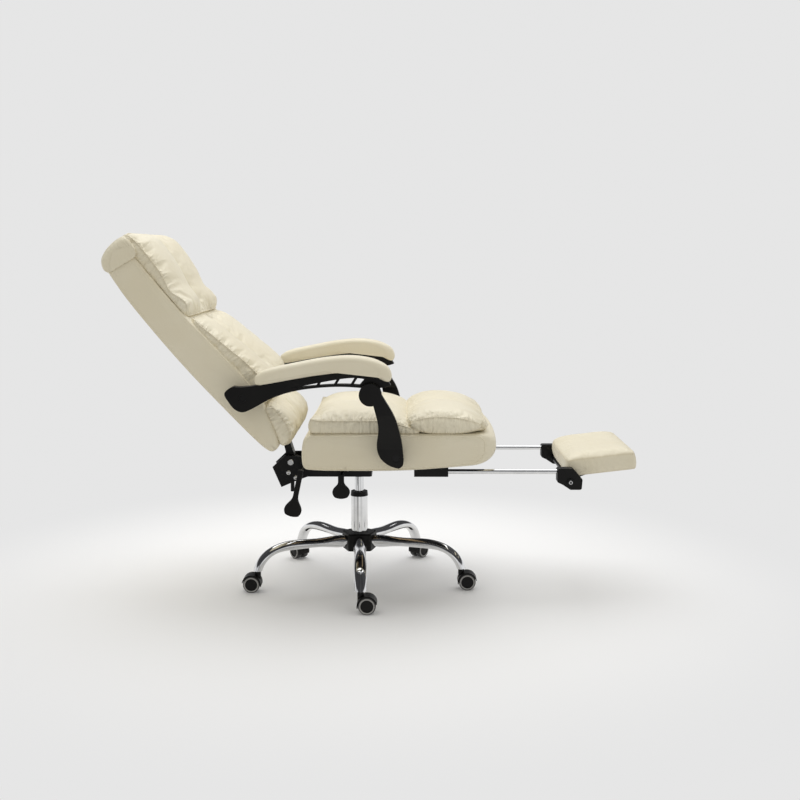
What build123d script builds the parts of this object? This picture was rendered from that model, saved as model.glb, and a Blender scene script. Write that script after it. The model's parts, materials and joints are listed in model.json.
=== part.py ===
from build123d import *
import os
from math import cos, radians, sin

os.makedirs("parts", exist_ok=True)

# Reclining office chair with a pull-out footrest, shown fully reclined.
# Millimetres and degrees. The origin is on the floor under the column,
# +X is the front of the chair, +Y the sitter's left and +Z up.

# Fits
running_fit = 0.05
rest_gap = 0.3
side_gap = 0.6

# Five-leg base
leg_count = 5
leg_heading = -87.0
caster_circle = 318.5
leg_tip_z = 64.0
leg_root_z = 131.0
leg_root_width = 38.0
leg_root_depth = 32.0
leg_mid_depth = 26.0
leg_tip_width = 34.0
leg_tip_depth = 26.0
hub_apothem = 46.0
hub_bottom = 104.0
hub_height = 52.0
hub_corner = 9.0
hub_edge = 5.0

# Casters
wheel_radius = 25.0
wheel_width = 17.0
wheel_gap = 9.0
wheel_edge = 2.5
wheel_dish = 18.0
wheel_dish_depth = 4.0
wheel_hub = 8.0
web_thickness = 7.0
axle_radius = 3.0
axle_boss = 9.0
caster_trail = 18.0
stem_radius = 5.0
stem_grip = 14.0
stem_boss = 9.0
hood_gap = 1.2
hood_wall = 2.5
hood_tilt = 12.0
caster_headings = (0.0, 0.0, 50.0, 130.0, 180.0)

# Gas lift column
tube_radius = 25.0
tube_wall = 2.0
tube_bottom = 95.0
tube_plate = 3.0
tube_top = 268.0
bush_depth = 72.0
collar_height = 14.0
collar_radius = 26.5
bearing_height = 6.0
bearing_radius = 13.0
rod_radius = 5.0
rod_shoulder = 11.0
rod_shoulder_height = 3.0
piston_height = 12.0
piston_z = 245.0
cylinder_radius = 14.0
cylinder_bottom = 160.0
gland_height = 12.0
chamber_radius = 11.0
cone_length = 40.0
cone_end_radius = 12.5
release_radius = 3.0
release_length = 26.0
release_rise = 5.0

# Mechanism under the seat
seat_under = 390.0
mech_depth = 56.0
mech_bottom = seat_under - mech_depth
mech_rear = -165.0
mech_front = 40.0
mech_half = 46.0
mech_wall = 3.0
mech_corner = 10.0
socket_radius = 19.0
socket_drop = 6.0
socket_height = 40.0
flange_half = 95.0
flange_rear = -120.0
flange_front = 70.0
flange_thickness = 3.0
cheek_thickness = 4.0
cheek_rise = 7.0
cheek_top = seat_under + cheek_rise
pivot_x = -203.0
pivot_drop = 12.0
pivot_z = seat_under - pivot_drop
pivot_radius = 6.0
pivot_head = 9.0
pivot_head_height = 4.0

# Levers
fulcrum_radius = 3.0
lever_hub = 7.0
lever_hub_length = 16.0
lever_rod = 4.0
lever_reach = 200.0
paddle_thickness = 10.0
height_lever_x = -43.0
height_lever_drop = 26.0
height_lever_z = seat_under - height_lever_drop
height_paddle_drop = 61.0
height_paddle_width = 52.0
height_stem_width = 17.0
recline_lever_x = -160.0
recline_lever_drop = 18.0
recline_lever_z = seat_under - recline_lever_drop
recline_lever_y = 56.0
recline_paddle_drop = 125.0
recline_paddle_width = 52.0
recline_stem_width = 15.0
recline_paddle_lean = 12.0

# Seat
seat_half = 255.0
seat_rear = -149.0
seat_top = 495.0
seat_nose = 405.0
seat_shoulder = 366.0
seat_nose_z = 455.0
seat_flat_end = 130.0
seat_toe_x = 335.0
seat_toe_rise = 15.0
seat_rounding = (
    (0.0, 14.0, 44.0),
    (3.0, 7.0, 30.0),
    (9.0, 2.0, 19.0),
    (20.0, 0.0, 11.0),
    (50.0, 0.0, 6.0),
)
board_rear = -115.0
board_front = 118.0
board_inset = 50.0
board_half = seat_half - board_inset
board_thickness = 12.0
pad_inset = 5.0
pad_half = seat_half - pad_inset
pad_rear = -129.0
pad_join = 128.0
pad_band = 36.0
pad_crest = 90.0
pad_valley = 78.0
bolster_front = 366.0
bolster_crest = 102.0
bolster_valley = 92.0
cushion_draw = 9.0

# Back
back_lean = 40.2
back_half = 250.0
back_bottom = 66.0
back_top = 790.0
shell_front = 84.0
shell_foot_front = 52.0
shell_slant_low = 80.0
shell_slant_high = 185.0
shell_rear_foot = 12.0
shell_rear_bow = -15.0
shell_rear_top = 6.0
shell_corner = 46.0
shell_edge = 14.0
panel_low = 205.0
panel_high = 700.0
panel_half = 205.0
panel_thickness = 10.0
bar_half = 20.0
bar_rear = 18.0
bar_front = 34.0
bar_top = 240.0
bracket_hub = 16.0
tail_length = 98.0
tail_radius = 6.0
pillow_split = 504.0

# Arms and struts
arm_pivot_x = -303.7
arm_pivot_z = 604.8
arm_joint_x = 46.1
arm_joint_z = 617.7
arm_spread = 35.0
arm_width = 28.0
arm_inner = seat_half + arm_spread
arm_outer = arm_inner + arm_width
arm_eye = 26.0
arm_spacer = 24.0
arm_edge = 3.0
arm_rail = 18.0
arm_rail_low = 6.5
rib_width = 7.0
rib_lean = -32.0
rib_pitch = 46.0
window_count = 5
window_rear = -166.0
arm_bolt_radius = 5.0
arm_bolt_head = 10.0
arm_bolt_sink = 8.0
arm_bolt_depth = 22.0
arm_pad_half = 34.0
arm_pad_draw = 9.0
joint_pin_radius = 7.0
joint_play = 2.8
strut_pivot_x = 115.6
strut_pivot_z = 436.0
strut_thickness = 24.0
strut_head = 31.0
strut_foot_reach = 47.0
strut_foot_outer = seat_half + strut_foot_reach
strut_bend_high = 560.0
strut_bend_low = 462.0
strut_bolt_radius = 6.0
strut_bolt_head = 10.0
strut_bolt_sink = 8.0
strut_bolt_depth = 30.0

# Footrest
rod_inset = 55.0
rod_spread = seat_half - rod_inset
rod_drop = 9.4
rod_z = seat_under - rod_drop
rail_radius = 7.0
rail_rear = 172.0
guide_rear = 166.0
guide_front = 263.0
guide_lip = 282.0
guide_half = 16.0
guide_depth = 22.0
guide_bottom = seat_under - guide_depth
bracket_rear = 573.0
bracket_front = 645.0
bracket_rise = 11.4
bracket_top = rod_z + bracket_rise
bracket_drop = 49.6
bracket_bottom = rod_z - bracket_drop
bracket_half = 16.0
rail_socket = 24.0
foot_pivot_x = 611.0
foot_pivot_drop = 27.6
foot_pivot_z = rod_z - foot_pivot_drop
foot_pivot_radius = 6.0
foot_head_radius = 10.0
foot_head_height = 5.0
foot_tilt = 6.8
foot_inset = 20.0
foot_half = rod_spread - foot_inset
foot_rear = -2.0
foot_front = 200.0
foot_base = 8.5
foot_band = 48.0
foot_crest = 59.0
foot_valley = 57.0
plate_thickness = 3.0
plate_half = foot_half - 30.0
plate_rear = 16.0
plate_front = 140.0
lug_thickness = 6.0
lug_inner = plate_half
lug_outer = lug_inner + lug_thickness
lug_eye = 8.2

# Derived places
cylinder_top = mech_bottom - socket_drop + cone_length
cone_start = cylinder_top - cone_length
bush_radius = tube_radius - tube_wall - running_fit
bearing_z = tube_bottom + tube_plate
cheek_inner = mech_half - cheek_thickness
strut_inner = arm_outer + side_gap
strut_outer = strut_inner + strut_thickness
bracket_inner = rod_spread - bracket_half
bracket_outer = rod_spread + bracket_half
along = Vector(-sin(radians(back_lean)), 0, cos(radians(back_lean)))
ahead = Vector(cos(radians(back_lean)), 0, sin(radians(back_lean)))
pivot = Vector(pivot_x, 0, pivot_z)
back_side = Plane(origin=pivot, x_dir=along, z_dir=(0, 1, 0))
back_face = Plane(origin=pivot, x_dir=(0, 1, 0), z_dir=ahead)
foot_pivot = Vector(foot_pivot_x, 0, foot_pivot_z)
foot_run = Vector(cos(radians(foot_tilt)), 0, sin(radians(foot_tilt)))
foot_side = Plane(origin=foot_pivot, x_dir=foot_run, z_dir=(0, -1, 0))


def side_plane(y):
    """Plane across the chair at y, with +X to the right and +Z up; it extrudes to -Y."""
    return Plane(origin=(0, y, 0), x_dir=(1, 0, 0), z_dir=(0, -1, 0))


def back_station(a):
    """Plane square to the reclined back, a millimetres up from the recline pivot."""
    return Plane(origin=pivot + along * a, x_dir=(0, 1, 0), z_dir=along * -1)


def seat_station(x):
    """Plane square to the seat at x."""
    return Plane(origin=(x, 0, 0), x_dir=(0, 1, 0), z_dir=(1, 0, 0))


def foot_station(s):
    """Plane square to the footrest cushion, s millimetres ahead of its pivot."""
    return Plane(origin=foot_pivot + foot_run * s, x_dir=(0, 1, 0), z_dir=foot_run)


def underside(x):
    """Height of the seat's underside, flat at the rear and rising to the front."""
    rise = seat_toe_rise / (seat_toe_x - seat_flat_end)
    return seat_under + max(0.0, x - seat_flat_end) * rise


def shell_face(a):
    """Depth of the back shell's front face at a, slanted below the pillows."""
    slant = (shell_front - shell_foot_front) / (shell_slant_high - shell_slant_low)
    return shell_front - max(0.0, shell_slant_high - a) * slant


def keep(piece, label):
    """Label a finished piece and write its file."""
    piece.part.label = label
    export_step(piece.part, "parts/" + label + ".step")


def cushion(stations, draw):
    """Stuffed cushion through cross sections: flat base, drawn-in sides and two lobes."""
    with BuildPart() as piece:
        for plane, half, base, edge, crest, valley in stations:
            inner = half - min(draw, 0.4 * (edge - base))
            waist = (base + edge) / 2
            with BuildSketch(plane):
                with BuildLine():
                    Line((inner, base), (-inner, base))
                    ThreePointArc((-inner, base), (-half, waist), (-inner, edge))
                    ThreePointArc((-inner, edge), (-inner / 2, crest), (0, valley))
                    ThreePointArc((0, valley), (inner / 2, crest), (inner, edge))
                    ThreePointArc((inner, edge), (half, waist), (inner, base))
                make_face()
        loft()
    return piece


# Hub of the base, a pentagon with one flat for each leg
with BuildPart() as base_hub:
    with BuildSketch(Plane.XY.offset(hub_bottom)):
        RegularPolygon(
            hub_apothem, leg_count, major_radius=False, rotation=leg_heading + 180 / leg_count
        )
    extrude(amount=hub_height)
    fillet(base_hub.edges().filter_by(Axis.Z), radius=hub_corner)
    fillet(base_hub.faces().sort_by(Axis.Z)[-1].edges(), radius=hub_edge)
    with Locations((0, 0, hub_bottom)):
        Cylinder(
            tube_radius + running_fit,
            hub_height,
            align=(Align.CENTER, Align.CENTER, Align.MIN),
            mode=Mode.SUBTRACT,
        )
keep(base_hub, "base_hub")

# Arched legs, each lofted through ovals from the hub's flat to the caster socket
leg_path = (
    (0.0, 0.98, 0.0, leg_root_width, leg_root_depth),
    (0.22, 1.0, 0.0, leg_root_width - 1, leg_root_depth - 2),
    (0.48, 1.01, 1.5, leg_root_width - 2, leg_mid_depth + 2),
    (0.74, 0.94, 11.0, (leg_root_width + leg_tip_width) / 2, leg_mid_depth),
    (0.88, 0.70, 38.0, leg_tip_width + 3, leg_mid_depth - 2),
    (0.965, 0.33, 60.0, leg_tip_width + 1, leg_tip_depth - 1),
    (1.0, 0.0, 90.0, leg_tip_width, leg_tip_depth),
)
stem_places = []
for k in range(leg_count):
    turn = radians(leg_heading + k * 360 / leg_count)
    out = Vector(cos(turn), sin(turn), 0)
    across = Vector(-sin(turn), cos(turn), 0)
    stem_places.append(out * caster_circle)
    with BuildPart() as base_leg:
        for share, rise, dip, width, depth in leg_path:
            reach = hub_apothem + share * (caster_circle - hub_apothem)
            height = leg_tip_z + rise * (leg_root_z - leg_tip_z)
            spot = out * reach + Vector(0, 0, height)
            ahead_of_leg = out * cos(radians(dip)) + Vector(0, 0, -sin(radians(dip)))
            with BuildSketch(Plane(origin=spot, x_dir=across, z_dir=ahead_of_leg)):
                Ellipse(width / 2, depth / 2)
        loft()
        with Locations(out * caster_circle + Vector(0, 0, leg_tip_z)):
            Cylinder(
                stem_radius + running_fit,
                stem_grip,
                align=(Align.CENTER, Align.CENTER, Align.MIN),
                mode=Mode.SUBTRACT,
            )
    keep(base_leg, f"base_leg_{k + 1}")

# Twin-wheel casters, each with its own trailing direction
for k in range(leg_count):
    turn = radians(caster_headings[k])
    trail = Vector(cos(turn), sin(turn), 0)
    axle_dir = Vector(-sin(turn), cos(turn), 0)
    axle_spot = stem_places[k] + trail * caster_trail + Vector(0, 0, wheel_radius)
    upright = Plane(origin=axle_spot, x_dir=trail, z_dir=axle_dir * -1)
    hood_radius = wheel_radius + hood_gap + hood_wall
    with BuildPart() as caster_housing:
        with BuildSketch(upright):
            Circle(hood_radius)
            Rectangle(
                4 * hood_radius,
                2 * hood_radius,
                rotation=hood_tilt,
                align=(Align.CENTER, Align.MIN),
                mode=Mode.INTERSECT,
            )
        extrude(amount=wheel_gap / 2 + wheel_width, both=True)
        with Locations(stem_places[k] + Vector(0, 0, wheel_radius)):
            Cylinder(
                stem_boss,
                leg_tip_z - rest_gap - wheel_radius,
                align=(Align.CENTER, Align.CENTER, Align.MIN),
            )
        for side in (1, -1):
            wheel_bay = upright.offset(side * web_thickness / 2)
            with BuildSketch(wheel_bay):
                Circle(wheel_radius + hood_gap)
            extrude(amount=side * (wheel_width + wheel_gap), mode=Mode.SUBTRACT)
        with BuildSketch(upright):
            Circle(axle_boss)
        extrude(amount=web_thickness / 2, both=True)
        with BuildSketch(upright):
            Circle(axle_radius)
        extrude(amount=wheel_gap / 2 + wheel_width - wheel_dish_depth, both=True)
        with Locations(stem_places[k] + Vector(0, 0, leg_tip_z - rest_gap)):
            Cylinder(
                stem_radius,
                stem_grip - rest_gap,
                align=(Align.CENTER, Align.CENTER, Align.MIN),
            )
    keep(caster_housing, f"caster_{k + 1}_housing")
    for side, name in ((1, "right"), (-1, "left")):
        with BuildPart() as caster_wheel:
            with BuildSketch(upright.offset(side * wheel_gap / 2)):
                Circle(wheel_radius)
            extrude(amount=side * wheel_width)
            outer_face = caster_wheel.faces().sort_by(Axis(axle_spot, axle_dir * -side))[-1]
            inner_face = caster_wheel.faces().sort_by(Axis(axle_spot, axle_dir * -side))[0]
            fillet(outer_face.edges() + inner_face.edges(), radius=wheel_edge)
            with BuildSketch(upright.offset(side * (wheel_gap / 2 + wheel_width))):
                Circle(wheel_dish)
                Circle(wheel_hub, mode=Mode.SUBTRACT)
            extrude(amount=-side * wheel_dish_depth, mode=Mode.SUBTRACT)
            with BuildSketch(upright):
                Circle(axle_radius + running_fit)
            extrude(amount=2 * (wheel_gap + wheel_width), both=True, mode=Mode.SUBTRACT)
        keep(caster_wheel, f"caster_{k + 1}_wheel_{name}")

# Outer tube of the column, closed at its foot by a plate
with BuildPart() as column_tube:
    with BuildSketch(Plane.XZ):
        with BuildLine():
            Polyline(
                (rod_radius + running_fit, tube_bottom),
                (tube_radius, tube_bottom),
                (tube_radius, tube_top),
                (tube_radius - tube_wall, tube_top),
                (tube_radius - tube_wall, bearing_z),
                (rod_radius + running_fit, bearing_z),
                close=True,
            )
        make_face()
    revolve(axis=Axis.Z)
keep(column_tube, "column_tube")

# Guide bush with the black collar on top of the tube
with BuildPart() as column_bush:
    with BuildSketch(Plane.XZ):
        with BuildLine():
            Polyline(
                (cylinder_radius + running_fit, tube_top - bush_depth),
                (bush_radius, tube_top - bush_depth),
                (bush_radius, tube_top),
                (collar_radius, tube_top),
                (collar_radius - 1.5, tube_top + collar_height),
                (cylinder_radius + running_fit, tube_top + collar_height),
                close=True,
            )
        make_face()
    revolve(axis=Axis.Z)
keep(column_bush, "column_bush")

# Thrust bearing ring that carries the lift rod
with BuildPart() as thrust_bearing:
    with BuildSketch(Plane.XY.offset(bearing_z)):
        Circle(bearing_radius)
        Circle(rod_radius + running_fit, mode=Mode.SUBTRACT)
    extrude(amount=bearing_height)
    fillet(thrust_bearing.faces().sort_by(Axis.Z)[-1].edges().sort_by(Edge.length)[-1], radius=1.5)
keep(thrust_bearing, "thrust_bearing")

# Lift rod with its shoulder on the bearing and the piston inside the cylinder
with BuildPart() as lift_rod:
    shoulder_z = bearing_z + bearing_height + running_fit
    with BuildSketch(Plane.XZ):
        with BuildLine():
            Polyline(
                (0, tube_bottom),
                (rod_radius, tube_bottom),
                (rod_radius, shoulder_z),
                (rod_shoulder, shoulder_z),
                (rod_shoulder, shoulder_z + rod_shoulder_height),
                (rod_radius, shoulder_z + rod_shoulder_height),
                (rod_radius, piston_z),
                (chamber_radius - running_fit, piston_z),
                (chamber_radius - running_fit, piston_z + piston_height),
                (0, piston_z + piston_height),
                close=True,
            )
        make_face()
    revolve(axis=Axis.Z)
keep(lift_rod, "lift_rod")

# Gas cylinder with a tapered head that wedges in the mechanism
with BuildPart() as lift_cylinder:
    with BuildSketch(Plane.XZ):
        with BuildLine():
            Polyline(
                (rod_radius + running_fit, cylinder_bottom),
                (cylinder_radius, cylinder_bottom),
                (cylinder_radius, cone_start),
                (cone_end_radius, cylinder_top),
                (release_radius + running_fit, cylinder_top),
                (release_radius + running_fit, cone_start),
                (chamber_radius, cone_start),
                (chamber_radius, cylinder_bottom + gland_height),
                (rod_radius + running_fit, cylinder_bottom + gland_height),
                close=True,
            )
        make_face()
    revolve(axis=Axis.Z)
keep(lift_cylinder, "lift_cylinder")

# Release pin of the gas cylinder, pushed down by the height lever
with BuildPart() as lift_release_pin:
    with Locations((0, 0, cylinder_top + release_rise - release_length)):
        Cylinder(
            release_radius, release_length, align=(Align.CENTER, Align.CENTER, Align.MIN)
        )
    fillet(lift_release_pin.faces().sort_by(Axis.Z)[-1].edges(), radius=1.0)
keep(lift_release_pin, "lift_release_pin")

# Mechanism housing: pressed box, top flange, conical socket and recline cheeks
slot_half = lever_hub_length / 2 + 4
with BuildPart() as mechanism_housing:
    mech_middle = (mech_rear + mech_front) / 2
    mech_length = mech_front - mech_rear
    with BuildSketch(Plane.XY.offset(mech_bottom)):
        with Locations((mech_middle, 0)):
            RectangleRounded(mech_length, 2 * mech_half, mech_corner)
    extrude(amount=seat_under - mech_bottom)
    with BuildSketch(Plane.XY.offset(seat_under - flange_thickness)):
        with Locations(((flange_rear + flange_front) / 2, 0)):
            RectangleRounded(flange_front - flange_rear, 2 * flange_half, mech_corner)
    extrude(amount=flange_thickness)
    with BuildSketch(Plane.XY.offset(mech_bottom + mech_wall)):
        with Locations((mech_middle, 0)):
            RectangleRounded(
                mech_length - 2 * mech_wall, 2 * (mech_half - mech_wall), mech_corner - mech_wall
            )
    extrude(amount=seat_under - mech_bottom, mode=Mode.SUBTRACT)
    with Locations((0, 0, mech_bottom - socket_drop)):
        Cylinder(
            socket_radius, socket_height, align=(Align.CENTER, Align.CENTER, Align.MIN)
        )
    for side in (1, -1):
        with BuildSketch(side_plane(max(side * cheek_inner, side * mech_half))):
            with BuildLine():
                Polyline(
                    (mech_rear + mech_corner + 14, seat_under),
                    (mech_rear - 2, seat_under),
                    (mech_rear - 12, cheek_top),
                    (pivot_x - 19, cheek_top),
                    (pivot_x - 55, pivot_z - 15),
                    (pivot_x - 29, pivot_z - 76),
                    (pivot_x + 20, pivot_z - 55),
                    (mech_rear + mech_corner + 14, mech_bottom + 4),
                    close=True,
                )
            make_face()
        extrude(amount=cheek_thickness)
    with BuildSketch(Plane.XZ):
        with BuildLine():
            Polyline(
                (0, cone_start - socket_height),
                (cylinder_radius + running_fit, cone_start - socket_height),
                (cylinder_radius + running_fit, cone_start),
                (cone_end_radius + running_fit, cylinder_top),
                (cone_end_radius + running_fit, seat_under),
                (0, seat_under),
                close=True,
            )
        make_face()
    revolve(axis=Axis.Z, mode=Mode.SUBTRACT)
    with BuildSketch(side_plane(2 * mech_half)):
        with Locations((pivot_x, pivot_z)):
            Circle(pivot_radius + running_fit)
    extrude(amount=4 * mech_half, mode=Mode.SUBTRACT)
    slot_base = height_lever_z - lever_hub - 6
    with BuildSketch(side_plane(-mech_half + mech_wall + 1)):
        with BuildLine():
            Polyline(
                (height_lever_x - slot_half, slot_base),
                (height_lever_x + slot_half, slot_base),
                (height_lever_x + slot_half, seat_under - flange_thickness),
                (height_lever_x - slot_half, seat_under - flange_thickness),
                close=True,
            )
        make_face()
    extrude(amount=mech_wall + 2, mode=Mode.SUBTRACT)
    fulcrum_y = mech_half - mech_wall / 2
    with BuildSketch(Plane.YZ.offset(height_lever_x - slot_half - 2)):
        with Locations((-fulcrum_y, height_lever_z)):
            Circle(fulcrum_radius)
    extrude(amount=2 * slot_half + 4)
    ear_gap = lever_hub_length / 2 + rest_gap
    for step in (-ear_gap - 4, ear_gap):
        with BuildSketch(Plane.YZ.offset(recline_lever_x + step)):
            with BuildLine():
                Polyline(
                    (-mech_half + 1, recline_lever_z - 12),
                    (-recline_lever_y - 6, recline_lever_z - 5),
                    (-recline_lever_y - 6, recline_lever_z + 5),
                    (-mech_half + 1, recline_lever_z + 12),
                    close=True,
                )
            make_face()
        extrude(amount=4)
    with BuildSketch(Plane.YZ.offset(recline_lever_x - ear_gap - 2)):
        with Locations((-recline_lever_y, recline_lever_z)):
            Circle(fulcrum_radius)
    extrude(amount=2 * ear_gap + 4)
keep(mechanism_housing, "mechanism_housing")

# Recline pin through both cheeks, headed at each end
with BuildPart() as recline_pin:
    with BuildSketch(side_plane(mech_half + pivot_head_height)):
        with Locations((pivot_x, pivot_z)):
            Circle(pivot_head)
    extrude(amount=pivot_head_height)
    with BuildSketch(side_plane(mech_half)):
        with Locations((pivot_x, pivot_z)):
            Circle(pivot_radius)
    extrude(amount=2 * mech_half)
    with BuildSketch(side_plane(-mech_half)):
        with Locations((pivot_x, pivot_z)):
            Circle(pivot_head)
    extrude(amount=pivot_head_height)
    ends = recline_pin.faces().filter_by(Axis.Y).sort_by(Axis.Y)
    fillet(ends[0].edges() + ends[-1].edges(), radius=1.5)
keep(recline_pin, "recline_pin")

# Height lever: bent rod on a fulcrum in the side wall, with a spade paddle
with BuildPart() as height_lever:
    hub_y = -(mech_half - mech_wall / 2)
    inner_z = cylinder_top + release_rise + 0.5 + lever_rod
    with BuildLine() as height_path:
        FilletPolyline(
            (0, 8, inner_z),
            (height_lever_x / 2, hub_y / 2, inner_z),
            (height_lever_x, hub_y, height_lever_z),
            (height_lever_x, -lever_reach, height_lever_z),
            radius=8,
        )
    with BuildSketch(Plane(origin=height_path.line @ 0, z_dir=height_path.line % 0)):
        Circle(lever_rod)
    sweep()
    with BuildSketch(Plane.YZ.offset(height_lever_x - lever_hub_length / 2)):
        with Locations((hub_y, height_lever_z)):
            Circle(lever_hub)
    extrude(amount=lever_hub_length)
    with BuildSketch(side_plane(-lever_reach + paddle_thickness / 2)):
        with BuildLine():
            stem_half = height_stem_width / 2
            spade_half = height_paddle_width / 2
            for flank in (1, -1):
                Line(
                    (height_lever_x + flank * stem_half, height_lever_z + 6),
                    (height_lever_x + flank * stem_half, height_lever_z - 12),
                )
                Spline(
                    (height_lever_x + flank * stem_half, height_lever_z - 12),
                    (height_lever_x + flank * (spade_half - 5), height_lever_z - 33),
                    (height_lever_x + flank * (spade_half - 1), height_lever_z - 46),
                    (height_lever_x + flank * (spade_half - 8), height_lever_z - height_paddle_drop + 2),
                    tangents=((0, -1), (-flank, -1)),
                )
            Line(
                (height_lever_x - stem_half, height_lever_z + 6),
                (height_lever_x + stem_half, height_lever_z + 6),
            )
            ThreePointArc(
                (height_lever_x + spade_half - 8, height_lever_z - height_paddle_drop + 2),
                (height_lever_x, height_lever_z - height_paddle_drop - 2),
                (height_lever_x - spade_half + 8, height_lever_z - height_paddle_drop + 2),
            )
        make_face()
    extrude(amount=paddle_thickness)
    with BuildSketch(Plane.YZ.offset(height_lever_x - lever_hub_length)):
        with Locations((hub_y, height_lever_z)):
            Circle(fulcrum_radius + running_fit)
    extrude(amount=2 * lever_hub_length, mode=Mode.SUBTRACT)
keep(height_lever, "height_lever")

# Recline lever: straight rod on a fulcrum beside the cheek, with a long leaning paddle
with BuildPart() as recline_lever:
    with BuildSketch(Plane.YZ.offset(recline_lever_x - lever_hub_length / 2)):
        with Locations((-recline_lever_y, recline_lever_z)):
            Circle(lever_hub)
    extrude(amount=lever_hub_length)
    with BuildSketch(side_plane(-recline_lever_y)):
        with Locations((recline_lever_x, recline_lever_z)):
            Circle(lever_rod)
    extrude(amount=lever_reach - recline_lever_y)
    lean = Plane(
        origin=(recline_lever_x, -lever_reach + paddle_thickness / 2, recline_lever_z),
        x_dir=(cos(radians(recline_paddle_lean)), 0, -sin(radians(recline_paddle_lean))),
        z_dir=(0, -1, 0),
    )
    with BuildSketch(lean):
        with BuildLine():
            stem_half = recline_stem_width / 2
            spade_half = recline_paddle_width / 2
            for flank in (1, -1):
                Line((flank * stem_half, 12), (flank * stem_half, 62 - recline_paddle_drop))
                Spline(
                    (flank * stem_half, 62 - recline_paddle_drop),
                    (flank * (spade_half - 7), 34 - recline_paddle_drop),
                    (flank * (spade_half - 1), 18 - recline_paddle_drop),
                    (flank * (spade_half - 7), 3 - recline_paddle_drop),
                    tangents=((0, -1), (-flank, -1)),
                )
            Line((-stem_half, 12), (stem_half, 12))
            ThreePointArc(
                (spade_half - 7, 3 - recline_paddle_drop),
                (0, -recline_paddle_drop - 1),
                (7 - spade_half, 3 - recline_paddle_drop),
            )
        make_face()
    extrude(amount=paddle_thickness)
    with BuildSketch(Plane.YZ.offset(recline_lever_x - lever_hub_length)):
        with Locations((-recline_lever_y, recline_lever_z)):
            Circle(fulcrum_radius + running_fit)
    extrude(amount=2 * lever_hub_length, mode=Mode.SUBTRACT)
keep(recline_lever, "recline_lever")

# Plywood board let into the underside of the seat
with BuildPart() as seat_board:
    with BuildSketch(Plane.XY.offset(seat_under)):
        with Locations(((board_rear + board_front) / 2, 0)):
            RectangleRounded(board_front - board_rear, 2 * board_half, mech_corner)
    extrude(amount=board_thickness)
keep(seat_board, "seat_board")

# Upholstered seat body with a waterfall front, drawn in towards both sides
seat_mid = (seat_under + seat_top) / 2
seat_sides = [(seat_half - step, draw, sweep_in) for step, draw, sweep_in in seat_rounding]
seat_cuts = seat_sides + [(0.0, 0.0, 0.0)]
seat_cuts = seat_cuts + [(-y, draw, sweep_in) for y, draw, sweep_in in reversed(seat_sides)]
with BuildPart() as seat_base:
    for y, draw, sweep_in in seat_cuts:
        toe = seat_toe_x - sweep_in
        with BuildSketch(side_plane(y)):
            with BuildLine():
                Line((seat_rear + 16 + draw, seat_under + draw), (seat_flat_end, seat_under + draw))
                Line((seat_flat_end, seat_under + draw), (toe, underside(toe) + draw))
                ThreePointArc(
                    (toe, underside(toe) + draw),
                    (seat_nose - sweep_in, seat_nose_z),
                    (seat_shoulder - sweep_in, seat_top - draw),
                )
                Line(
                    (seat_shoulder - sweep_in, seat_top - draw),
                    (seat_rear + 12 + draw, seat_top - draw),
                )
                ThreePointArc(
                    (seat_rear + 12 + draw, seat_top - draw),
                    (seat_rear + draw, seat_mid),
                    (seat_rear + 16 + draw, seat_under + draw),
                )
            make_face()
    loft(ruled=True)
    with BuildSketch(Plane.XY.offset(seat_under)):
        with Locations(((board_rear + board_front) / 2, 0)):
            RectangleRounded(board_front - board_rear, 2 * board_half, mech_corner)
    extrude(amount=board_thickness, mode=Mode.SUBTRACT)
    with BuildSketch(side_plane(seat_half)):
        with Locations((strut_pivot_x, strut_pivot_z)):
            Circle(strut_bolt_radius)
    extrude(amount=strut_bolt_depth, mode=Mode.SUBTRACT)
    with BuildSketch(side_plane(strut_bolt_depth - seat_half)):
        with Locations((strut_pivot_x, strut_pivot_z)):
            Circle(strut_bolt_radius)
    extrude(amount=strut_bolt_depth, mode=Mode.SUBTRACT)
keep(seat_base, "seat_base")

# Boxed rear seat cushion and the front roll, each crowned in two lobes
pad_run = pad_join - pad_rear
rear_pad_form = (
    (0.0, 14.0, 0.72, 0.52),
    (0.07, 4.0, 0.95, 0.80),
    (0.32, 0.0, 1.0, 1.0),
    (0.68, 0.0, 1.0, 1.0),
    (0.92, 3.0, 1.0, 0.84),
    (1.0, 12.0, 0.85, 0.62),
)
seat_rear_pad = cushion(
    [
        (
            seat_station(pad_rear + share * pad_run),
            pad_half - inset,
            seat_top + rest_gap,
            seat_top + band * pad_band,
            seat_top + crown * pad_crest,
            seat_top + crown * pad_valley,
        )
        for share, inset, band, crown in rear_pad_form
    ],
    cushion_draw,
)
keep(seat_rear_pad, "seat_rear_pad")

bolster_rear = pad_join + rest_gap
bolster_run = bolster_front - bolster_rear
bolster_form = (
    (0.0, 14.0, 0.95, 0.60),
    (0.10, 4.0, 1.0, 0.84),
    (0.36, 0.0, 1.1, 1.0),
    (0.66, 0.0, 1.1, 0.99),
    (0.90, 4.0, 1.0, 0.83),
    (1.0, 12.0, 0.8, 0.58),
)
seat_front_bolster = cushion(
    [
        (
            seat_station(bolster_rear + share * bolster_run),
            pad_half - inset,
            seat_top + rest_gap,
            seat_top + band * pad_band,
            seat_top + crown * bolster_crest,
            seat_top + crown * bolster_valley,
        )
        for share, inset, band, crown in bolster_form
    ],
    cushion_draw,
)
keep(seat_front_bolster, "seat_front_bolster")

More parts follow.
